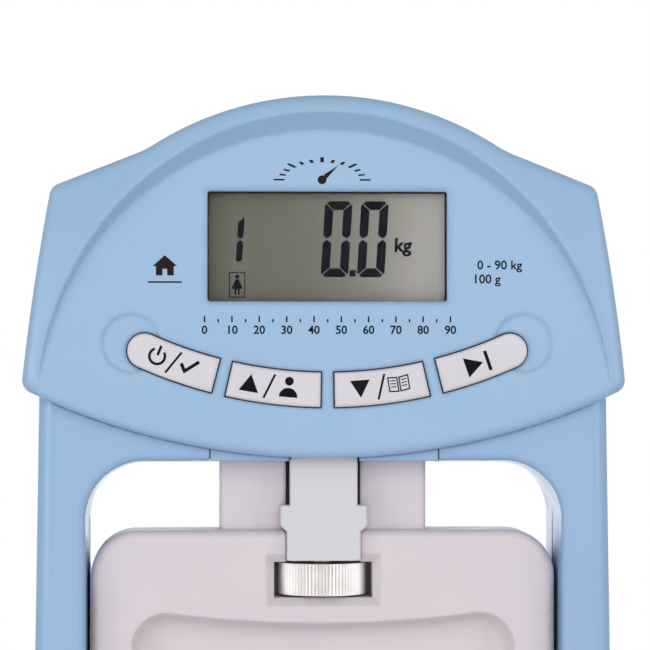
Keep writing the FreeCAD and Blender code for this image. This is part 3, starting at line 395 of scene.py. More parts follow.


# in each look the dust-and-shade keys darken seams and corners, partly dust and partly painted shade, and the
# edge keys lighten edges, partly wear and partly a painted highlight
plasticLooks = {
    "coverBlue": {
        "colour": (0.285, 0.450, 0.655), "flowColour": (0.305, 0.470, 0.670),
        "flowAmount": 0.6, "flowScale": 24.0, "roughLow": 0.30, "roughHigh": 0.40, "softEdge": 0.0014,
        "edgeColour": (0.47, 0.62, 0.80), "edgeAmount": 0.65, "edgeRadius": 0.0008,
        "dustAndShadeColour": (0.14, 0.23, 0.38), "dustAndShadeAmount": 0.2, "dustAndShadeReach": 0.0012,
        "grainScale": 3000.0, "grainStrength": 0.25, "grainDepth": 0.00003,
    },
    # near black at full strength in the seams: a painted shadow line under the cover's hem
    "frameBlue": {
        "colour": (0.275, 0.435, 0.645), "flowColour": (0.295, 0.460, 0.665),
        "flowAmount": 0.6, "flowScale": 20.0, "roughLow": 0.28, "roughHigh": 0.40, "softEdge": 0.0008,
        "edgeColour": (0.42, 0.57, 0.77), "edgeAmount": 0.35, "edgeRadius": 0.0008,
        "dustAndShadeColour": (0.010, 0.025, 0.09), "dustAndShadeAmount": 1.0, "dustAndShadeReach": 0.0009,
        "dustAndShadeOpen": 0.80, "dustAndShadeShut": 0.56,
        "grainScale": 2600.0, "grainStrength": 0.3, "grainDepth": 0.00003,
    },
    # a warm seam colour reaching far, kept to the lower part: painted shade in the finger scoop
    "gripWhite": {
        "colour": (0.640, 0.575, 0.620), "flowColour": (0.670, 0.605, 0.640),
        "flowAmount": 0.7, "flowScale": 30.0, "roughLow": 0.38, "roughHigh": 0.52, "softEdge": 0.0009,
        "edgeColour": (0.76, 0.70, 0.72), "edgeAmount": 0.4, "edgeRadius": 0.0007,
        "dustAndShadeColour": (0.36, 0.29, 0.26), "dustAndShadeAmount": 0.75, "dustAndShadeReach": 0.011,
        "dustAndShadeOpen": 0.98, "dustAndShadeShut": 0.35, "dustAndShadeBelow": (-0.012, -0.006),
        "grainScale": 2200.0, "grainStrength": 0.4, "grainDepth": 0.00004,
    },
    "postWhite": {
        "colour": (0.610, 0.600, 0.640), "flowColour": (0.625, 0.615, 0.655),
        "flowAmount": 0.6, "flowScale": 30.0, "roughLow": 0.32, "roughHigh": 0.38, "softEdge": 0.0005,
        "edgeColour": (0.75, 0.76, 0.80), "edgeAmount": 0.35, "edgeRadius": 0.0005,
        "dustAndShadeColour": (0.25, 0.22, 0.22), "dustAndShadeAmount": 0.5, "dustAndShadeReach": 0.0015,
        "grainScale": 3200.0, "grainStrength": 0.12, "grainDepth": 0.00002,
    },
    "keyWhite": {
        "colour": (0.615, 0.590, 0.630), "flowColour": (0.650, 0.630, 0.665),
        "flowAmount": 0.7, "flowScale": 90.0, "roughLow": 0.32, "roughHigh": 0.46, "softEdge": 0.0003,
        "edgeColour": (0.82, 0.80, 0.84), "edgeAmount": 0.5, "edgeRadius": 0.0004,
        "dustAndShadeColour": (0.12, 0.11, 0.15), "dustAndShadeAmount": 0.8, "dustAndShadeReach": 0.0009,
        "grainScale": 3600.0, "grainStrength": 0.25, "grainDepth": 0.00003,
    },
    "holderWhite": {
        "colour": (0.60, 0.60, 0.60), "flowColour": (0.66, 0.66, 0.65),
        "flowAmount": 0.6, "flowScale": 60.0, "roughLow": 0.4, "roughHigh": 0.55, "softEdge": 0.0003,
        "edgeColour": (0.75, 0.75, 0.75), "edgeAmount": 0.3, "edgeRadius": 0.0004,
        "dustAndShadeColour": (0.2, 0.2, 0.2), "dustAndShadeAmount": 0.4, "dustAndShadeReach": 0.001,
        "grainScale": 3000.0, "grainStrength": 0.2, "grainDepth": 0.00003,
    },
    "chipBlack": {
        "colour": (0.02, 0.02, 0.021), "flowColour": (0.03, 0.03, 0.032),
        "flowAmount": 0.6, "flowScale": 200.0, "roughLow": 0.45, "roughHigh": 0.65, "softEdge": 0.0002,
        "edgeColour": (0.08, 0.08, 0.08), "edgeAmount": 0.4, "edgeRadius": 0.0003,
        "dustAndShadeColour": (0.05, 0.05, 0.045), "dustAndShadeAmount": 0.4, "dustAndShadeReach": 0.0008,
        "grainScale": 5000.0, "grainStrength": 0.4, "grainDepth": 0.00003,
    },
    "switchBlack": {
        "colour": (0.025, 0.025, 0.027), "flowColour": (0.04, 0.04, 0.042),
        "flowAmount": 0.5, "flowScale": 150.0, "roughLow": 0.35, "roughHigh": 0.5, "softEdge": 0.0002,
        "edgeColour": (0.1, 0.1, 0.1), "edgeAmount": 0.4, "edgeRadius": 0.0003,
        "dustAndShadeColour": (0.05, 0.05, 0.045), "dustAndShadeAmount": 0.4, "dustAndShadeReach": 0.0008,
        "grainScale": 4000.0, "grainStrength": 0.2, "grainDepth": 0.00003,
    },
    "boardGreen": {
        "colour": (0.012, 0.115, 0.045), "flowColour": (0.02, 0.15, 0.06),
        "flowAmount": 0.7, "flowScale": 120.0, "roughLow": 0.2, "roughHigh": 0.34, "softEdge": 0.0002,
        "edgeColour": (0.35, 0.33, 0.18), "edgeAmount": 0.6, "edgeRadius": 0.0003,
        "dustAndShadeColour": (0.02, 0.05, 0.03), "dustAndShadeAmount": 0.4, "dustAndShadeReach": 0.001,
        "grainScale": 1800.0, "grainStrength": 0.3, "grainDepth": 0.00003,
    },
    "stripRubber": {
        "colour": (0.16, 0.13, 0.13), "flowColour": (0.3, 0.24, 0.24),
        "flowAmount": 0.8, "flowScale": 900.0, "roughLow": 0.5, "roughHigh": 0.7, "softEdge": 0.0002,
        "edgeColour": (0.3, 0.28, 0.28), "edgeAmount": 0.3, "edgeRadius": 0.0002,
        "dustAndShadeColour": (0.1, 0.09, 0.09), "dustAndShadeAmount": 0.4, "dustAndShadeReach": 0.0006,
        "grainScale": 2600.0, "grainStrength": 0.5, "grainDepth": 0.00004,
    },
    "gaugeFilm": {
        "colour": (0.55, 0.28, 0.05), "flowColour": (0.62, 0.36, 0.09),
        "flowAmount": 0.6, "flowScale": 400.0, "roughLow": 0.2, "roughHigh": 0.35, "softEdge": 0.0001,
        "edgeColour": (0.7, 0.5, 0.2), "edgeAmount": 0.4, "edgeRadius": 0.0001,
        "dustAndShadeColour": (0.2, 0.12, 0.04), "dustAndShadeAmount": 0.4, "dustAndShadeReach": 0.0005,
        "grainScale": 3000.0, "grainStrength": 0.2, "grainDepth": 0.00002,
    },
    "wireRed": {
        "colour": (0.42, 0.02, 0.018), "flowColour": (0.5, 0.04, 0.03),
        "flowAmount": 0.5, "flowScale": 150.0, "roughLow": 0.3, "roughHigh": 0.45, "softEdge": 0.0002,
        "edgeColour": (0.55, 0.1, 0.08), "edgeAmount": 0.2, "edgeRadius": 0.0002,
        "dustAndShadeColour": (0.12, 0.02, 0.02), "dustAndShadeAmount": 0.4, "dustAndShadeReach": 0.0008,
        "grainScale": 2400.0, "grainStrength": 0.3, "grainDepth": 0.00003,
    },
    "batteryJacket": {
        "colour": (0.035, 0.045, 0.06), "flowColour": (0.05, 0.06, 0.08),
        "flowAmount": 0.6, "flowScale": 80.0, "roughLow": 0.22, "roughHigh": 0.34, "softEdge": 0.0005,
        "edgeColour": (0.5, 0.5, 0.5), "edgeAmount": 0.4, "edgeRadius": 0.0004,
        "dustAndShadeColour": (0.05, 0.05, 0.05), "dustAndShadeAmount": 0.4, "dustAndShadeReach": 0.001,
        "grainScale": 1500.0, "grainStrength": 0.15, "grainDepth": 0.00003,
    },
}


def metal(name, look):
    # plated or milled metal with tool lines, slightly rubbed edges with a painted highlight, and dust with
    # painted shade in its corners
    material, tree, shader = startMaterial(name)
    lines = useGroup(tree, "lines", Stretch=look["stretch"])
    wearAndHighlight = useGroup(tree, "wearAndHighlight", Radius=look["edgeRadius"])
    dustAndShade = useGroup(tree, "dustAndShade", Reach=look["dustAndShadeReach"])
    cloud = mathNode(tree, "MULTIPLY", lines.outputs["Cloud"], look["cloudAmount"])
    colour = mixColour(tree, cloud, look["colour"], look["cloudColour"])
    # edges painted lighter: partly wear, partly a painted highlight
    colour = mixColour(tree, mathNode(tree, "MULTIPLY", wearAndHighlight.outputs["Mask"], look["edgeAmount"]), colour,
                       look["edgeColour"])
    # corners darkened: partly dust, partly painted shade
    colour = mixColour(tree, mathNode(tree, "MULTIPLY", dustAndShade.outputs["Mask"], look["dustAndShadeAmount"]), colour,
                       look["dustAndShadeColour"])
    tree.links.new(colour, shader.inputs["Base Color"])
    shader.inputs["Metallic"].default_value = 1.0
    tree.links.new(rangeNode(tree, lines.outputs["Cloud"], 0.0, 1.0, look["roughLow"], look["roughHigh"]),
                   shader.inputs["Roughness"])
    addBump(tree, shader, lines.outputs["Height"], look["lineStrength"], look["lineDepth"])
    return material


# the dust-and-shade keys darken corners, partly dust and partly painted shade; the edge keys lighten edges,
# partly wear and partly a painted highlight
metalLooks = {
    "wheelNickel": {
        "colour": (0.90, 0.88, 0.87), "cloudColour": (0.80, 0.77, 0.75), "cloudAmount": 0.6,
        "edgeColour": (0.95, 0.94, 0.93), "edgeAmount": 0.6, "edgeRadius": 0.0003,
        "dustAndShadeColour": (0.16, 0.12, 0.10), "dustAndShadeAmount": 0.85, "dustAndShadeReach": 0.0009,
        "stretch": (2200.0, 300.0, 2200.0), "roughLow": 0.38, "roughHigh": 0.5, "lineStrength": 0.2,
        "lineDepth": 0.00002,
    },
    "zincSteel": {
        "colour": (0.58, 0.58, 0.57), "cloudColour": (0.48, 0.48, 0.46), "cloudAmount": 0.6,
        "edgeColour": (0.8, 0.8, 0.78), "edgeAmount": 0.5, "edgeRadius": 0.0002,
        "dustAndShadeColour": (0.08, 0.07, 0.06), "dustAndShadeAmount": 0.8, "dustAndShadeReach": 0.0008,
        "stretch": (900.0, 900.0, 900.0), "roughLow": 0.25, "roughHigh": 0.42, "lineStrength": 0.15,
        "lineDepth": 0.00002,
    },
    "cellAluminium": {
        "colour": (0.72, 0.73, 0.74), "cloudColour": (0.64, 0.65, 0.66), "cloudAmount": 0.5,
        "edgeColour": (0.85, 0.86, 0.87), "edgeAmount": 0.5, "edgeRadius": 0.0003,
        "dustAndShadeColour": (0.2, 0.2, 0.2), "dustAndShadeAmount": 0.5, "dustAndShadeReach": 0.001,
        "stretch": (60.0, 3000.0, 3000.0), "roughLow": 0.26, "roughHigh": 0.4, "lineStrength": 0.3,
        "lineDepth": 0.00002,
    },
    "plateAluminium": {
        "colour": (0.62, 0.63, 0.65), "cloudColour": (0.56, 0.57, 0.59), "cloudAmount": 0.5,
        "edgeColour": (0.8, 0.8, 0.82), "edgeAmount": 0.4, "edgeRadius": 0.0002,
        "dustAndShadeColour": (0.2, 0.2, 0.2), "dustAndShadeAmount": 0.5, "dustAndShadeReach": 0.0006,
        "stretch": (50.0, 5000.0, 5000.0), "roughLow": 0.32, "roughHigh": 0.46, "lineStrength": 0.4,
        "lineDepth": 0.00002,
    },
}


# what the inks share, then what each has of its own
inkFilm = {
    "grainScale": 4000.0, "flowScale": 300.0, "lighter": 0.005, "specular": 0.06, "roughSpread": 0.15,
    "grainStrength": 0.2, "grainDepth": 0.00002,
}
inkLooks = {
    "inkBlack": {"colour": (0.004, 0.004, 0.006), "rough": 0.5},
    "inkBrown": {"colour": (0.018, 0.010, 0.009), "rough": 0.45},
    "segmentInk": {"colour": (0.002, 0.002, 0.006), "rough": 0.55},
    # the dark strip under the window: painted shadow, not print
    "paintedShadowInk": {"colour": (0.02, 0.02, 0.022), "rough": 0.4},
}


def printInk(name, look):
    # pad-printed: a little uneven, with the film's own grain
    material, tree, shader = startMaterial(name)
    grain = useGroup(tree, "grain", Grain_Scale=inkFilm["grainScale"], Flow_Scale=inkFilm["flowScale"])
    lighter = tuple(value + inkFilm["lighter"] for value in look["colour"])
    shader.inputs["Specular IOR Level"].default_value = inkFilm["specular"]
    colour = mixColour(tree, grain.outputs["Shade"], look["colour"], lighter)
    tree.links.new(colour, shader.inputs["Base Color"])
    roughHigh = look["rough"] + inkFilm["roughSpread"]
    rough = rangeNode(tree, grain.outputs["Polish"], 0.0, 1.0, look["rough"], roughHigh)
    tree.links.new(rough, shader.inputs["Roughness"])
    addBump(tree, shader, grain.outputs["Height"], inkFilm["grainStrength"], inkFilm["grainDepth"])
    return material


acrylicLook = {
    "colour": (0.96, 0.97, 0.96), "refraction": 1.06, "roughLow": 0.01, "roughHigh": 0.05,
    "grainScale": 500.0, "flowScale": 120.0,
}


def clearAcrylic(name, look):
    # the display window: clear, with faint wiping marks, and no dark shadow under it
    material, tree, shader = startMaterial(name)
    grain = useGroup(tree, "grain", Grain_Scale=look["grainScale"], Flow_Scale=look["flowScale"])
    shader.inputs["Base Color"].default_value = (*look["colour"], 1.0)
    shader.inputs["Transmission Weight"].default_value = 1.0
    shader.inputs["IOR"].default_value = look["refraction"]
    rough = rangeNode(tree, grain.outputs["Polish"], 0.0, 1.0, look["roughLow"], look["roughHigh"])
    tree.links.new(rough, shader.inputs["Roughness"])
    see = tree.nodes.new("ShaderNodeBsdfTransparent")
    path = tree.nodes.new("ShaderNodeLightPath")
    mix = tree.nodes.new("ShaderNodeMixShader")
    leave = tree.nodes["Material Output"]
    tree.links.new(path.outputs["Is Shadow Ray"], mix.inputs[0])
    tree.links.new(shader.outputs[0], mix.inputs[1])
    tree.links.new(see.outputs[0], mix.inputs[2])
    tree.links.new(mix.outputs[0], leave.inputs["Surface"])
    return material


# dark and light are the two ends of a painted reflection across the display
reflectorLook = {
    "dark": (0.096, 0.091, 0.070), "light": (0.420, 0.395, 0.385), "lateness": 3.4,
    "cloudScale": 40.0, "cloudAmount": 0.03,
    "fibreColour": (0.45, 0.44, 0.40), "fibreScale": 5200.0, "fibreAmount": 0.06,
    "roughLow": 0.4, "roughHigh": 0.55, "specular": 0.2, "grainStrength": 0.2, "grainDepth": 0.00002,
}


def lcdBacking(name, look, middleX, halfX):
    # the display's grey reflector, with a painted reflection that lightens it towards one side
    material, tree, shader = startMaterial(name)
    place = tree.nodes.new("ShaderNodeTexCoord").outputs["Object"]
    split = tree.nodes.new("ShaderNodeSeparateXYZ")
    tree.links.new(place, split.inputs[0])
    across = rangeNode(tree, split.outputs["X"], middleX - halfX, middleX + halfX, 0.0, 1.0)
    fibre = noiseNode(tree, place, look["fibreScale"], 2.0, 0.6)
    cloud = noiseNode(tree, place, look["cloudScale"], 2.0, 0.5)
    # painted reflection: lighter towards one side, with a little random clouding
    paintedReflectionTone = mathNode(tree, "ADD", mathNode(tree, "POWER", across, look["lateness"]),
                    rangeNode(tree, cloud, 0.3, 0.7, -look["cloudAmount"], look["cloudAmount"]), True)
    colour = mixColour(tree, paintedReflectionTone, look["dark"], look["light"])
    threads = rangeNode(tree, fibre, 0.35, 0.65, 0.0, look["fibreAmount"])
    tree.links.new(mixColour(tree, threads, colour, look["fibreColour"]), shader.inputs["Base Color"])
    rough = rangeNode(tree, fibre, 0.3, 0.7, look["roughLow"], look["roughHigh"])
    tree.links.new(rough, shader.inputs["Roughness"])
    shader.inputs["Specular IOR Level"].default_value = look["specular"]
    addBump(tree, shader, fibre, look["grainStrength"], look["grainDepth"])
    return material


materials = {name: mouldedPlastic(name, look) for name, look in plasticLooks.items()}
materials.update({name: metal(name, look) for name, look in metalLooks.items()})
materials.update({name: printInk(name, look) for name, look in inkLooks.items()})
materials["clearAcrylic"] = clearAcrylic("clearAcrylic", acrylicLook)
print("materials built:", len(materials))


nodeFinish = {
    "coverBlue": ["head_cover"],
    "frameBlue": ["frame_front", "rear_housing", "guide_block", "battery_cover"],
    "gripWhite": ["grip_front", "grip_rear"],
    "postWhite": ["pull_post"],
    "keyWhite": ["key_power", "key_up", "key_down", "key_start"],
    "zincSteel": ["housing_screws", "grip_screws", "board_screws", "cell_screws", "adjusting_screw",
                  "pull_rod", "rod_nut", "battery_contacts", "battery_springs"],
    "wheelNickel": ["thumbwheel"],
    "clearAcrylic": ["display_lens"],
    "holderWhite": ["lcd_glass", "lcd_holder"],
    "stripRubber": ["zebra_strip"],
    "boardGreen": ["circuit_board"],
    "switchBlack": ["tact_switches"],
    "chipBlack": ["board_chips"],
    "cellAluminium": ["load_cell"],
    "gaugeFilm": ["strain_gauges"],
    "batteryJacket": ["battery_lower", "battery_upper"],
    "plateAluminium": ["rating_plate"],
    "wireRed": ["cell_lead", "battery_leads"],
}
for finish, nodeNames in nodeFinish.items():
    for nodeName in nodeNames:
        shown = nodes[nodeName]
        shown.data.materials.clear()
        shown.data.materials.append(materials[finish])
print("node finishes set:", sum(len(nodeNames) for nodeNames in nodeFinish.values()))


lcdLow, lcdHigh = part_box("lcd_glass")
lcdMiddle = (lcdLow + lcdHigh) / 2

# the marks' sizes and places are in millimetres from the middle of the display
lcd = {
    "edgeBevel": 0.3 * millimetre,
    "markGap": 0.002 * millimetre,
    "markHeight": 0.04 * millimetre,
    "bigDigits": {"width": 5.95, "height": 16.35, "bar": 1.9, "gap": 0.22, "x": (2.0, 9.8), "y": 1.7},
    "smallOne": {"height": 9.8, "bar": 1.35, "x": -18.75, "y": 1.6},
    "point": {"half": 0.68, "x": 5.9, "y": -5.65},
    "unit": {"height": 2.9, "x": 16.3, "y": 0.3, "bolder": 0.12},
    "person": {"x": -19.3, "y": -8.15, "outer": (1.75, 2.75), "inner": (1.55, 2.55), "head": 0.46},
    "slant": 0.062,
}


def makeLcdPanel():
    # one block in place of the glass, with bevelled rims
    size = lcdHigh - lcdLow
    deselectAll()
    bpy.ops.mesh.primitive_cube_add(size=1, location=lcdMiddle, scale=size)
    piece = bpy.context.object
    settle(piece)
    bevel = piece.modifiers.new("rim", "BEVEL")
    bevel.width = lcd["edgeBevel"]
    bevel.segments = 2
    applyModifiers(piece)
    material = lcdBacking("lcdReflector", reflectorLook, lcdMiddle.x, size.x / 2)
    finishPiece(piece, "lcd_panel", "housing", material, 35)
    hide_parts("lcd_glass")


def plainPoint(x, y):
    # millimetres from the middle of the display, to a place in metres
    return (lcdMiddle.x + x * millimetre, lcdMiddle.y + y * millimetre)


def leaningPoint(x, y):
    # the same, leaning as the digits do
    return (lcdMiddle.x + (x + lcd["slant"] * y) * millimetre, lcdMiddle.y + y * millimetre)


def zeroSegments(width, height, bar, gap):
    # the six lit bars of a nought: mitred at the corners and pointed at the waist
    w, h, t, g = width / 2, height / 2, bar, gap / 2
    c = t * 0.45
    top = [(-w + g + c, h), (w - g - c, h), (w - g - c * 0.4, h - c * 0.5), (w - t - g * 0.2, h - t),
           (-w + t + g * 0.2, h - t), (-w + g + c * 0.4, h - c * 0.5)]
    side = [(w, h - c - g), (w - c * 0.35, h - c * 0.5 - g * 1.6), (w - t, h - t - g * 1.6),
            (w - t, t * 0.42 + g), (w - t * 0.45, g), (w - t * 0.1, t * 0.3 + g), (w, t * 0.5 + g)]
    return [top, stretched(top, 1, -1),
            side, stretched(side, -1, 1), stretched(side, 1, -1), stretched(side, -1, -1)]


def oneSegments(height, bar):
    # the two lit bars of the small one
    h, t = height / 2, bar
    upper = [(t / 2, h), (t / 2, 0.7), (0, 0.12), (-t / 2, 0.7), (-t / 2, h - 1.3)]
    lower = [(t / 2, -0.7), (t / 2, -h + 0.6), (0, -h), (-t / 2, -h + 0.5), (-t / 2, -0.7), (0, -0.12)]
    return [upper, lower]


def personInFrame(top):
    # a small plain figure in a frame, as on a washroom door
    person = lcd["person"]
    outerX, outerY = person["outer"]
    innerX, innerY = person["inner"]
    body = [(-0.3, 1.2), (0.3, 1.2), (1.2, -0.75), (0.55, -1.0), (0.55, -2.1), (0.2, -2.1), (0.2, -1.05),
            (-0.2, -1.05), (-0.2, -2.1), (-0.55, -2.1), (-0.55, -1.0), (-1.2, -0.75)]
    outlines = [rectangle(-outerX, innerY, outerX, outerY), rectangle(-outerX, -outerY, outerX, -innerY),
                rectangle(-outerX, -innerY, -innerX, innerY), rectangle(innerX, -innerY, outerX, innerY),
                body, disc(person["head"], (0, 1.75))]
    return [plate([plainPoint(person["x"] + x, person["y"] + y) for x, y in outline], top, lcd["markHeight"])
            for outline in outlines]


def makeReadout():
    big, point, one, unit = lcd["bigDigits"], lcd["point"], lcd["smallOne"], lcd["unit"]
    top = lcdHigh.z + lcd["markGap"]
    zero = zeroSegments(big["width"], big["height"], big["bar"], big["gap"])
    lit = [(x, big["y"], outline) for x in big["x"] for outline in zero]
    half = point["half"]
    lit.append((point["x"], point["y"], rectangle(-half, -half, half, half)))
    lit += [(one["x"], one["y"], outline) for outline in oneSegments(one["height"], one["bar"])]
    marks = [plate([leaningPoint(x0 + x, y0 + y) for x, y in outline], top, lcd["markHeight"])
             for x0, y0, outline in lit]
    marks.append(lettering("kg", plainPoint(unit["x"], unit["y"]), unit["height"] * millimetre, top,
                           lcd["markHeight"], lcd["slant"], unit["bolder"] * millimetre))
    marks += personInFrame(top)
    finishPiece(joinPieces(marks), "lcd_readout", "housing", materials["segmentInk"])


# half sizes of the window, how far the painted shadow border reaches in and how far it runs on outside, in
# millimetres
lensShadowStrip = {"halfX": 25.7, "halfY": 11.8, "border": 0.32, "runOn": 0.5, "depth": 0.06, "thickness": 0.03}


def makeLensMask():
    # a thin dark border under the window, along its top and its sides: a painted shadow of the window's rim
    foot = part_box("display_lens")[0].z - lensShadowStrip["depth"] * millimetre
    x, y, border, runOn = lensShadowStrip["halfX"], lensShadowStrip["halfY"], lensShadowStrip["border"], lensShadowStrip["runOn"]
    strips = [rectangle(-x - runOn, y - border, x + runOn, y + runOn),
              rectangle(-x - runOn, -y - runOn, -x + border, y + runOn),
              rectangle(x - border, -y - runOn, x + runOn, y + runOn)]
    pieces = [plate([plainPoint(a, b) for a, b in strip], foot, lensShadowStrip["thickness"] * millimetre)
              for strip in strips]
    finishPiece(joinPieces(pieces), "lens_shadow_strip", "housing", materials["paintedShadowInk"])


makeLcdPanel()
makeReadout()
makeLensMask()
print("display made")


wheelLow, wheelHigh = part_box("thumbwheel")
wheel = {
    "teeth": 76,
    "toothDepth": 0.42 * millimetre,
    "rimBevel": 0.12 * millimetre,
    "bore": 3.1 * millimetre,
}


def makeWheel():
    # a blank with V teeth, its rims chamfered and its bore open
    middle = (wheelLow + wheelHigh) / 2
    radius = (wheelHigh.x - wheelLow.x) / 2
    deselectAll()
    bpy.ops.mesh.primitive_cylinder_add(vertices=wheel["teeth"] * 2, radius=radius,
                                        depth=wheelHigh.y - wheelLow.y, location=middle,
                                        rotation=(math.pi / 2, 0, 0))
    piece = bpy.context.object
    settle(piece)
    mesh = piece.data
    step = math.tau / (wheel["teeth"] * 2)
    for vertex in mesh.vertices:
        across = Vector((vertex.co.x - middle.x, 0, vertex.co.z - middle.z))
        number = round(math.atan2(across.z, across.x) / step)
        if number % 2:
            vertex.co -= across.normalized() * wheel["toothDepth"]
    choose(piece)
    bpy.ops.object.mode_set(mode="EDIT")
    bpy.ops.mesh.select_mode(type="FACE")
    bpy.ops.mesh.select_all(action="DESELECT")
    bpy.ops.object.mode_set(mode="OBJECT")
    for face in mesh.polygons:
        face.select = abs(face.normal.y) > 0.9
    bpy.ops.object.mode_set(mode="EDIT")
    bpy.ops.mesh.inset(thickness=wheel["rimBevel"] * 2, depth=0)
    bpy.ops.mesh.inset(thickness=radius - wheel["bore"] - wheel["rimBevel"] * 2, depth=0)
    bpy.ops.mesh.delete(type="FACE")
    bpy.ops.mesh.select_all(action="DESELECT")
    bpy.ops.mesh.select_mode(type="EDGE")
    bpy.ops.mesh.select_non_manifold()
    bpy.ops.mesh.bridge_edge_loops()
    bpy.ops.mesh.select_all(action="SELECT")
    bpy.ops.mesh.normals_make_consistent(inside=False)
    bpy.ops.object.mode_set(mode="OBJECT")
    # the rims lean in, so the teeth start behind a chamfer
    low, high = wheelLow.y, wheelHigh.y
    for vertex in mesh.vertices:
        reach = math.hypot(vertex.co.x - middle.x, vertex.co.z - middle.z)
        if reach > radius - wheel["toothDepth"] - 0.05 * millimetre:
            vertex.co.y += wheel["rimBevel"] if vertex.co.y < middle.y else -wheel["rimBevel"]
        vertex.co.y = min(high, max(low, vertex.co.y))
    finishPiece(piece, "knurled_wheel", "wheel", materials["wheelNickel"], 20)
    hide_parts("thumbwheel")


makeWheel()
print("thumbwheel made")


# print lies this far over its face, and is this thick
inkGap = 0.001 * millimetre
inkHeight = 0.03 * millimetre
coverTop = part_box("key_up")[1].z - 0.8 * millimetre  # the keys stand proud of the cover

# the keys' marks follow this arc; all the marks' sizes and places are in millimetres
keyBand = {"centreY": 130.8, "radius": 95.75, "shift": 0.5, "markSize": 1.2}

slash = [(-0.35, -2.2), (0.05, -2.2), (1.55, 2.2), (1.15, 2.2)]
powerMark = [ringBand(1.15, 1.62, 130, 410), rectangle(-0.23, 0.2, 0.23, 2.0)]
checkMark = [[(-1.6, 0.1), (-1.15, 0.55), (-0.4, -0.35), (1.35, 1.75), (1.8, 1.35), (-0.4, -1.25)]]
upMark = [[(-1.75, -1.5), (1.75, -1.5), (0, 1.6)]]
downMark = [[(-1.75, 1.5), (0, -1.6), (1.75, 1.5)]]
playMark = [[(-1.5, -1.8), (1.7, 0), (-1.5, 1.8)], rectangle(2.3, -1.8, 2.9, 1.8)]
personMark = [disc(0.78, (0, 1.25)), arc(1.65, 0, 180, (0, -1.6))]


def bookMark():
    # an open book: two page outlines and their lines
    marks = []
    for side in (-1, 1):
        page = [(0.08, -1.35), (1.9, -1.15), (1.9, 1.55), (0.08, 1.35)]
        inside = [(0.3, -1.1), (1.68, -0.94), (1.68, 1.3), (0.3, 1.12)]
        for n in range(4):
            strip = [page[n], page[(n + 1) % 4], inside[(n + 1) % 4], inside[n]]
            marks.append(stretched(strip, side, 1))
        for y in (-0.45, 0.1, 0.65):
            line = [(0.5, y), (1.45, y + 0.08), (1.45, y + 0.26), (0.5, y + 0.18)]
            marks.append(stretched(line, side, 1))
    return marks


# each key's place on the arc in degrees, then its marks with their steps along the arc
keyMarks = {
    "key_power": (-19.6, [(powerMark, -4.6), ([slash], -1.6), (checkMark, 2.4)]),
    "key_up": (-6.8, [(upMark, -5.4), ([slash], -1.9), (personMark, 3.0)]),
    "key_down": (6.8, [(downMark, -4.4), ([slash], -0.6), (bookMark(), 3.9)]),
    "key_start": (19.4, [(playMark, -0.5)]),
}


def inkPlates(outlines, x0, y0, foot):
    # outlines in millimetres, moved to their place, as plates of ink
    return [plate([((x0 + x) * millimetre, (y0 + y) * millimetre) for x, y in outline], foot, inkHeight)
            for outline in outlines]


def makeKeyMarks():
    for keyName, (degrees, marks) in keyMarks.items():
        pieces = []
        for outlines, offset in marks:
            angle = math.radians(degrees + math.degrees(offset / keyBand["radius"]))
            middle = (keyBand["shift"] + keyBand["radius"] * math.sin(angle),
                      keyBand["centreY"] - keyBand["radius"] * math.cos(angle))
            grown = [stretched(outline, keyBand["markSize"], keyBand["markSize"]) for outline in outlines]
            pieces += inkPlates([turned(outline, angle, middle) for outline in grown], 0, 0,
                                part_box(keyName)[1].z + inkGap)
        bodies = frame["record"]["behaviour"]["bodies"]
        body = [name for name, members in bodies.items() if keyName in members][0]
        finishPiece(joinPieces(pieces), keyName + "_mark", body, materials["inkBlack"])


scale = {
    "last": 90, "step": 5, "pitch": 0.585, "foot": 49.5, "shortTick": 0.7, "longTick": 1.3, "halfLine": 0.16,
    "numberY": 47.8, "numberHeight": 1.75, "bolder": 0.05,
}


def makeScaleMarks():
    # a force scale under the display: ticks, with a plain number at every long one
    pieces = []
    for number in range(0, scale["last"] + 1, scale["step"]):
        numbered = number % (2 * scale["step"]) == 0
        x = keyBand["shift"] + (number - scale["last"] / 2) * scale["pitch"]
        tall = scale["longTick"] if numbered else scale["shortTick"]
        tick = rectangle(x - scale["halfLine"], scale["foot"], x + scale["halfLine"], scale["foot"] + tall)
        pieces += inkPlates([tick], 0, 0, coverTop + inkGap)
        if numbered:
            pieces.append(lettering(str(number), (x * millimetre, scale["numberY"] * millimetre),
                                    scale["numberHeight"] * millimetre, coverTop + inkGap, inkHeight, 0.0,
                                    scale["bolder"] * millimetre))
    finishPiece(joinPieces(pieces), "force_scale", "housing", materials["inkBlack"])


capacity = {"lines": [("0 - 90 kg", 37.4, 61.7), ("100 g", 34.6, 58.7)], "height": 1.9, "bolder": 0.04}


def makeCapacityMarks():
    pieces = [lettering(words, (x * millimetre, y * millimetre), capacity["height"] * millimetre,
                        coverTop + inkGap, inkHeight, 0.0, capacity["bolder"] * millimetre)
              for words, x, y in capacity["lines"]]
    finishPiece(joinPieces(pieces), "capacity_marks", "housing", materials["inkBlack"])


home = {"x": -34.3, "y": 61.2}


def makeHomeMark():
    # a small house, left of the display, over a short rule
    house = [(-1.9, -1.7), (-0.5, -1.7), (-0.5, -0.3), (0.5, -0.3), (0.5, -1.7), (1.9, -1.7), (1.9, 0.3),
             (2.6, 0.3), (0, 2.6), (-2.6, 0.3), (-1.9, 0.3)]
    rule = rectangle(-3.6, -3.3, 3.6, -2.95)
    pieces = inkPlates([house, rule], home["x"], home["y"], coverTop + inkGap)
    finishPiece(joinPieces(pieces), "home_mark", "housing", materials["inkBrown"])


dial = {
    "x": -1.2, "y": 80.0, "wide": 1.55, "high": 0.72, "ticks": 13, "radius": 5.2,
    "shortTick": 0.9, "longTick": 1.5, "halfLine": 0.24, "hub": 0.95,
}


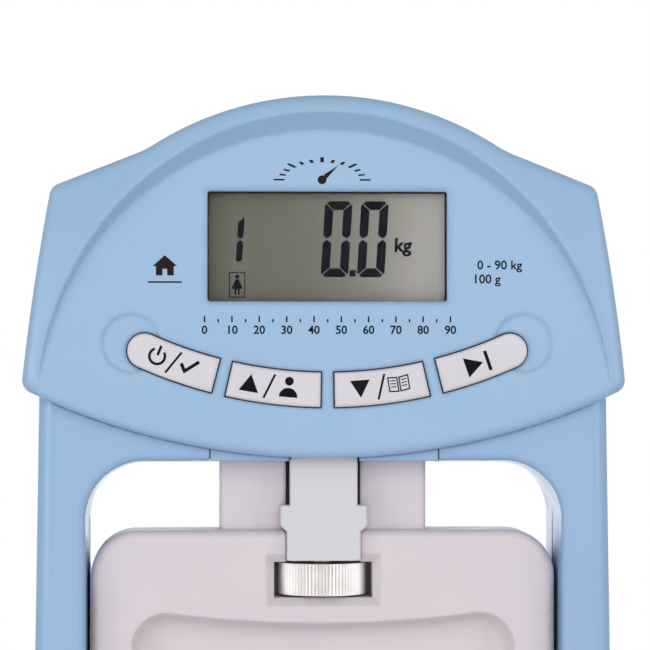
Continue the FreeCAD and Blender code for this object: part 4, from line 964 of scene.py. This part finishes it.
def makeDialMark():
    # over the display: a generic half-round dial with a pointer
    outlines = []
    for n in range(dial["ticks"]):
        tall = dial["longTick"] if n % 3 == 0 else dial["shortTick"]
        tick = rectangle(dial["radius"], -dial["halfLine"], dial["radius"] + tall, dial["halfLine"])
        tick = turned(tick, math.radians(n * 180 / (dial["ticks"] - 1)), (0, 0))
        outlines.append(stretched(tick, dial["wide"], dial["high"]))
    outlines.append([(0.32, 1.05), (1.0, 0.28), (3.5, 3.1)])
    outlines.append(disc(dial["hub"]))
    pieces = inkPlates(outlines, keyBand["shift"] + dial["x"], dial["y"], coverTop + inkGap)
    finishPiece(joinPieces(pieces), "dial_mark", "housing", materials["inkBrown"])


makeKeyMarks()
makeScaleMarks()
makeCapacityMarks()
makeHomeMark()
makeDialMark()
print("printed marks made")


def facing(eye, target):
    # turned so that -Z looks at the target, with the object's length upright
    ahead = (target - eye).normalized()
    right = ahead.cross(Vector((0, 1, 0))).normalized()
    upward = right.cross(ahead)
    return Matrix((right, upward, -ahead)).transposed().to_quaternion()


def makeFloor():
    # white to the camera from above, and clear to all else, so that the back can be lit and looked at
    bpy.ops.mesh.primitive_plane_add(size=studio["floorSize"], location=(0, 0, cadLow.z - studio["floorGap"]))
    floor = bpy.context.object
    floor.name = "floor"
    material, tree, shader = startMaterial("floorWhite")
    tree.nodes.remove(shader)
    glow = tree.nodes.new("ShaderNodeEmission")
    glow.inputs["Strength"].default_value = studio["floorGlow"]
    clear = tree.nodes.new("ShaderNodeBsdfTransparent")
    path = tree.nodes.new("ShaderNodeLightPath")
    geometry = tree.nodes.new("ShaderNodeNewGeometry")
    above = mathNode(tree, "SUBTRACT", 1.0, geometry.outputs["Backfacing"])
    seen = mathNode(tree, "MULTIPLY", path.outputs["Is Camera Ray"], above)
    mix = tree.nodes.new("ShaderNodeMixShader")
    tree.links.new(seen, mix.inputs[0])
    tree.links.new(clear.outputs[0], mix.inputs[1])
    tree.links.new(glow.outputs[0], mix.inputs[2])
    tree.links.new(mix.outputs[0], tree.nodes["Material Output"].inputs["Surface"])
    floor.data.materials.append(material)


def makeStudio():
    scene = bpy.context.scene
    eye, target = Vector(studio["eye"]), Vector(studio["target"])
    bpy.ops.object.camera_add(location=eye)
    camera = bpy.context.object
    camera.name = "camera"
    camera.data.lens = studio["lens"]
    camera.data.clip_start = 0.01
    camera.rotation_mode = "QUATERNION"
    camera.rotation_quaternion = facing(eye, target)
    scene.camera = camera
    world = bpy.data.worlds.new("studio")
    scene.world = world
    world.use_nodes = True
    world.node_tree.nodes["Background"].inputs["Color"].default_value = (1.0, 1.0, 1.0, 1.0)
    world.node_tree.nodes["Background"].inputs["Strength"].default_value = studio["worldStrength"]
    for look in studio["lights"]:
        bpy.ops.object.light_add(type="AREA", location=look["spot"])
        light = bpy.context.object
        light.name = look["name"]
        light.data.size = look["size"]
        light.data.energy = look["power"]
        light.rotation_mode = "QUATERNION"
        light.rotation_quaternion = facing(Vector(look["spot"]), Vector(studio["lightTarget"]))
    makeFloor()
    scene.view_settings.view_transform = "Standard"


makeStudio()
print("studio made")
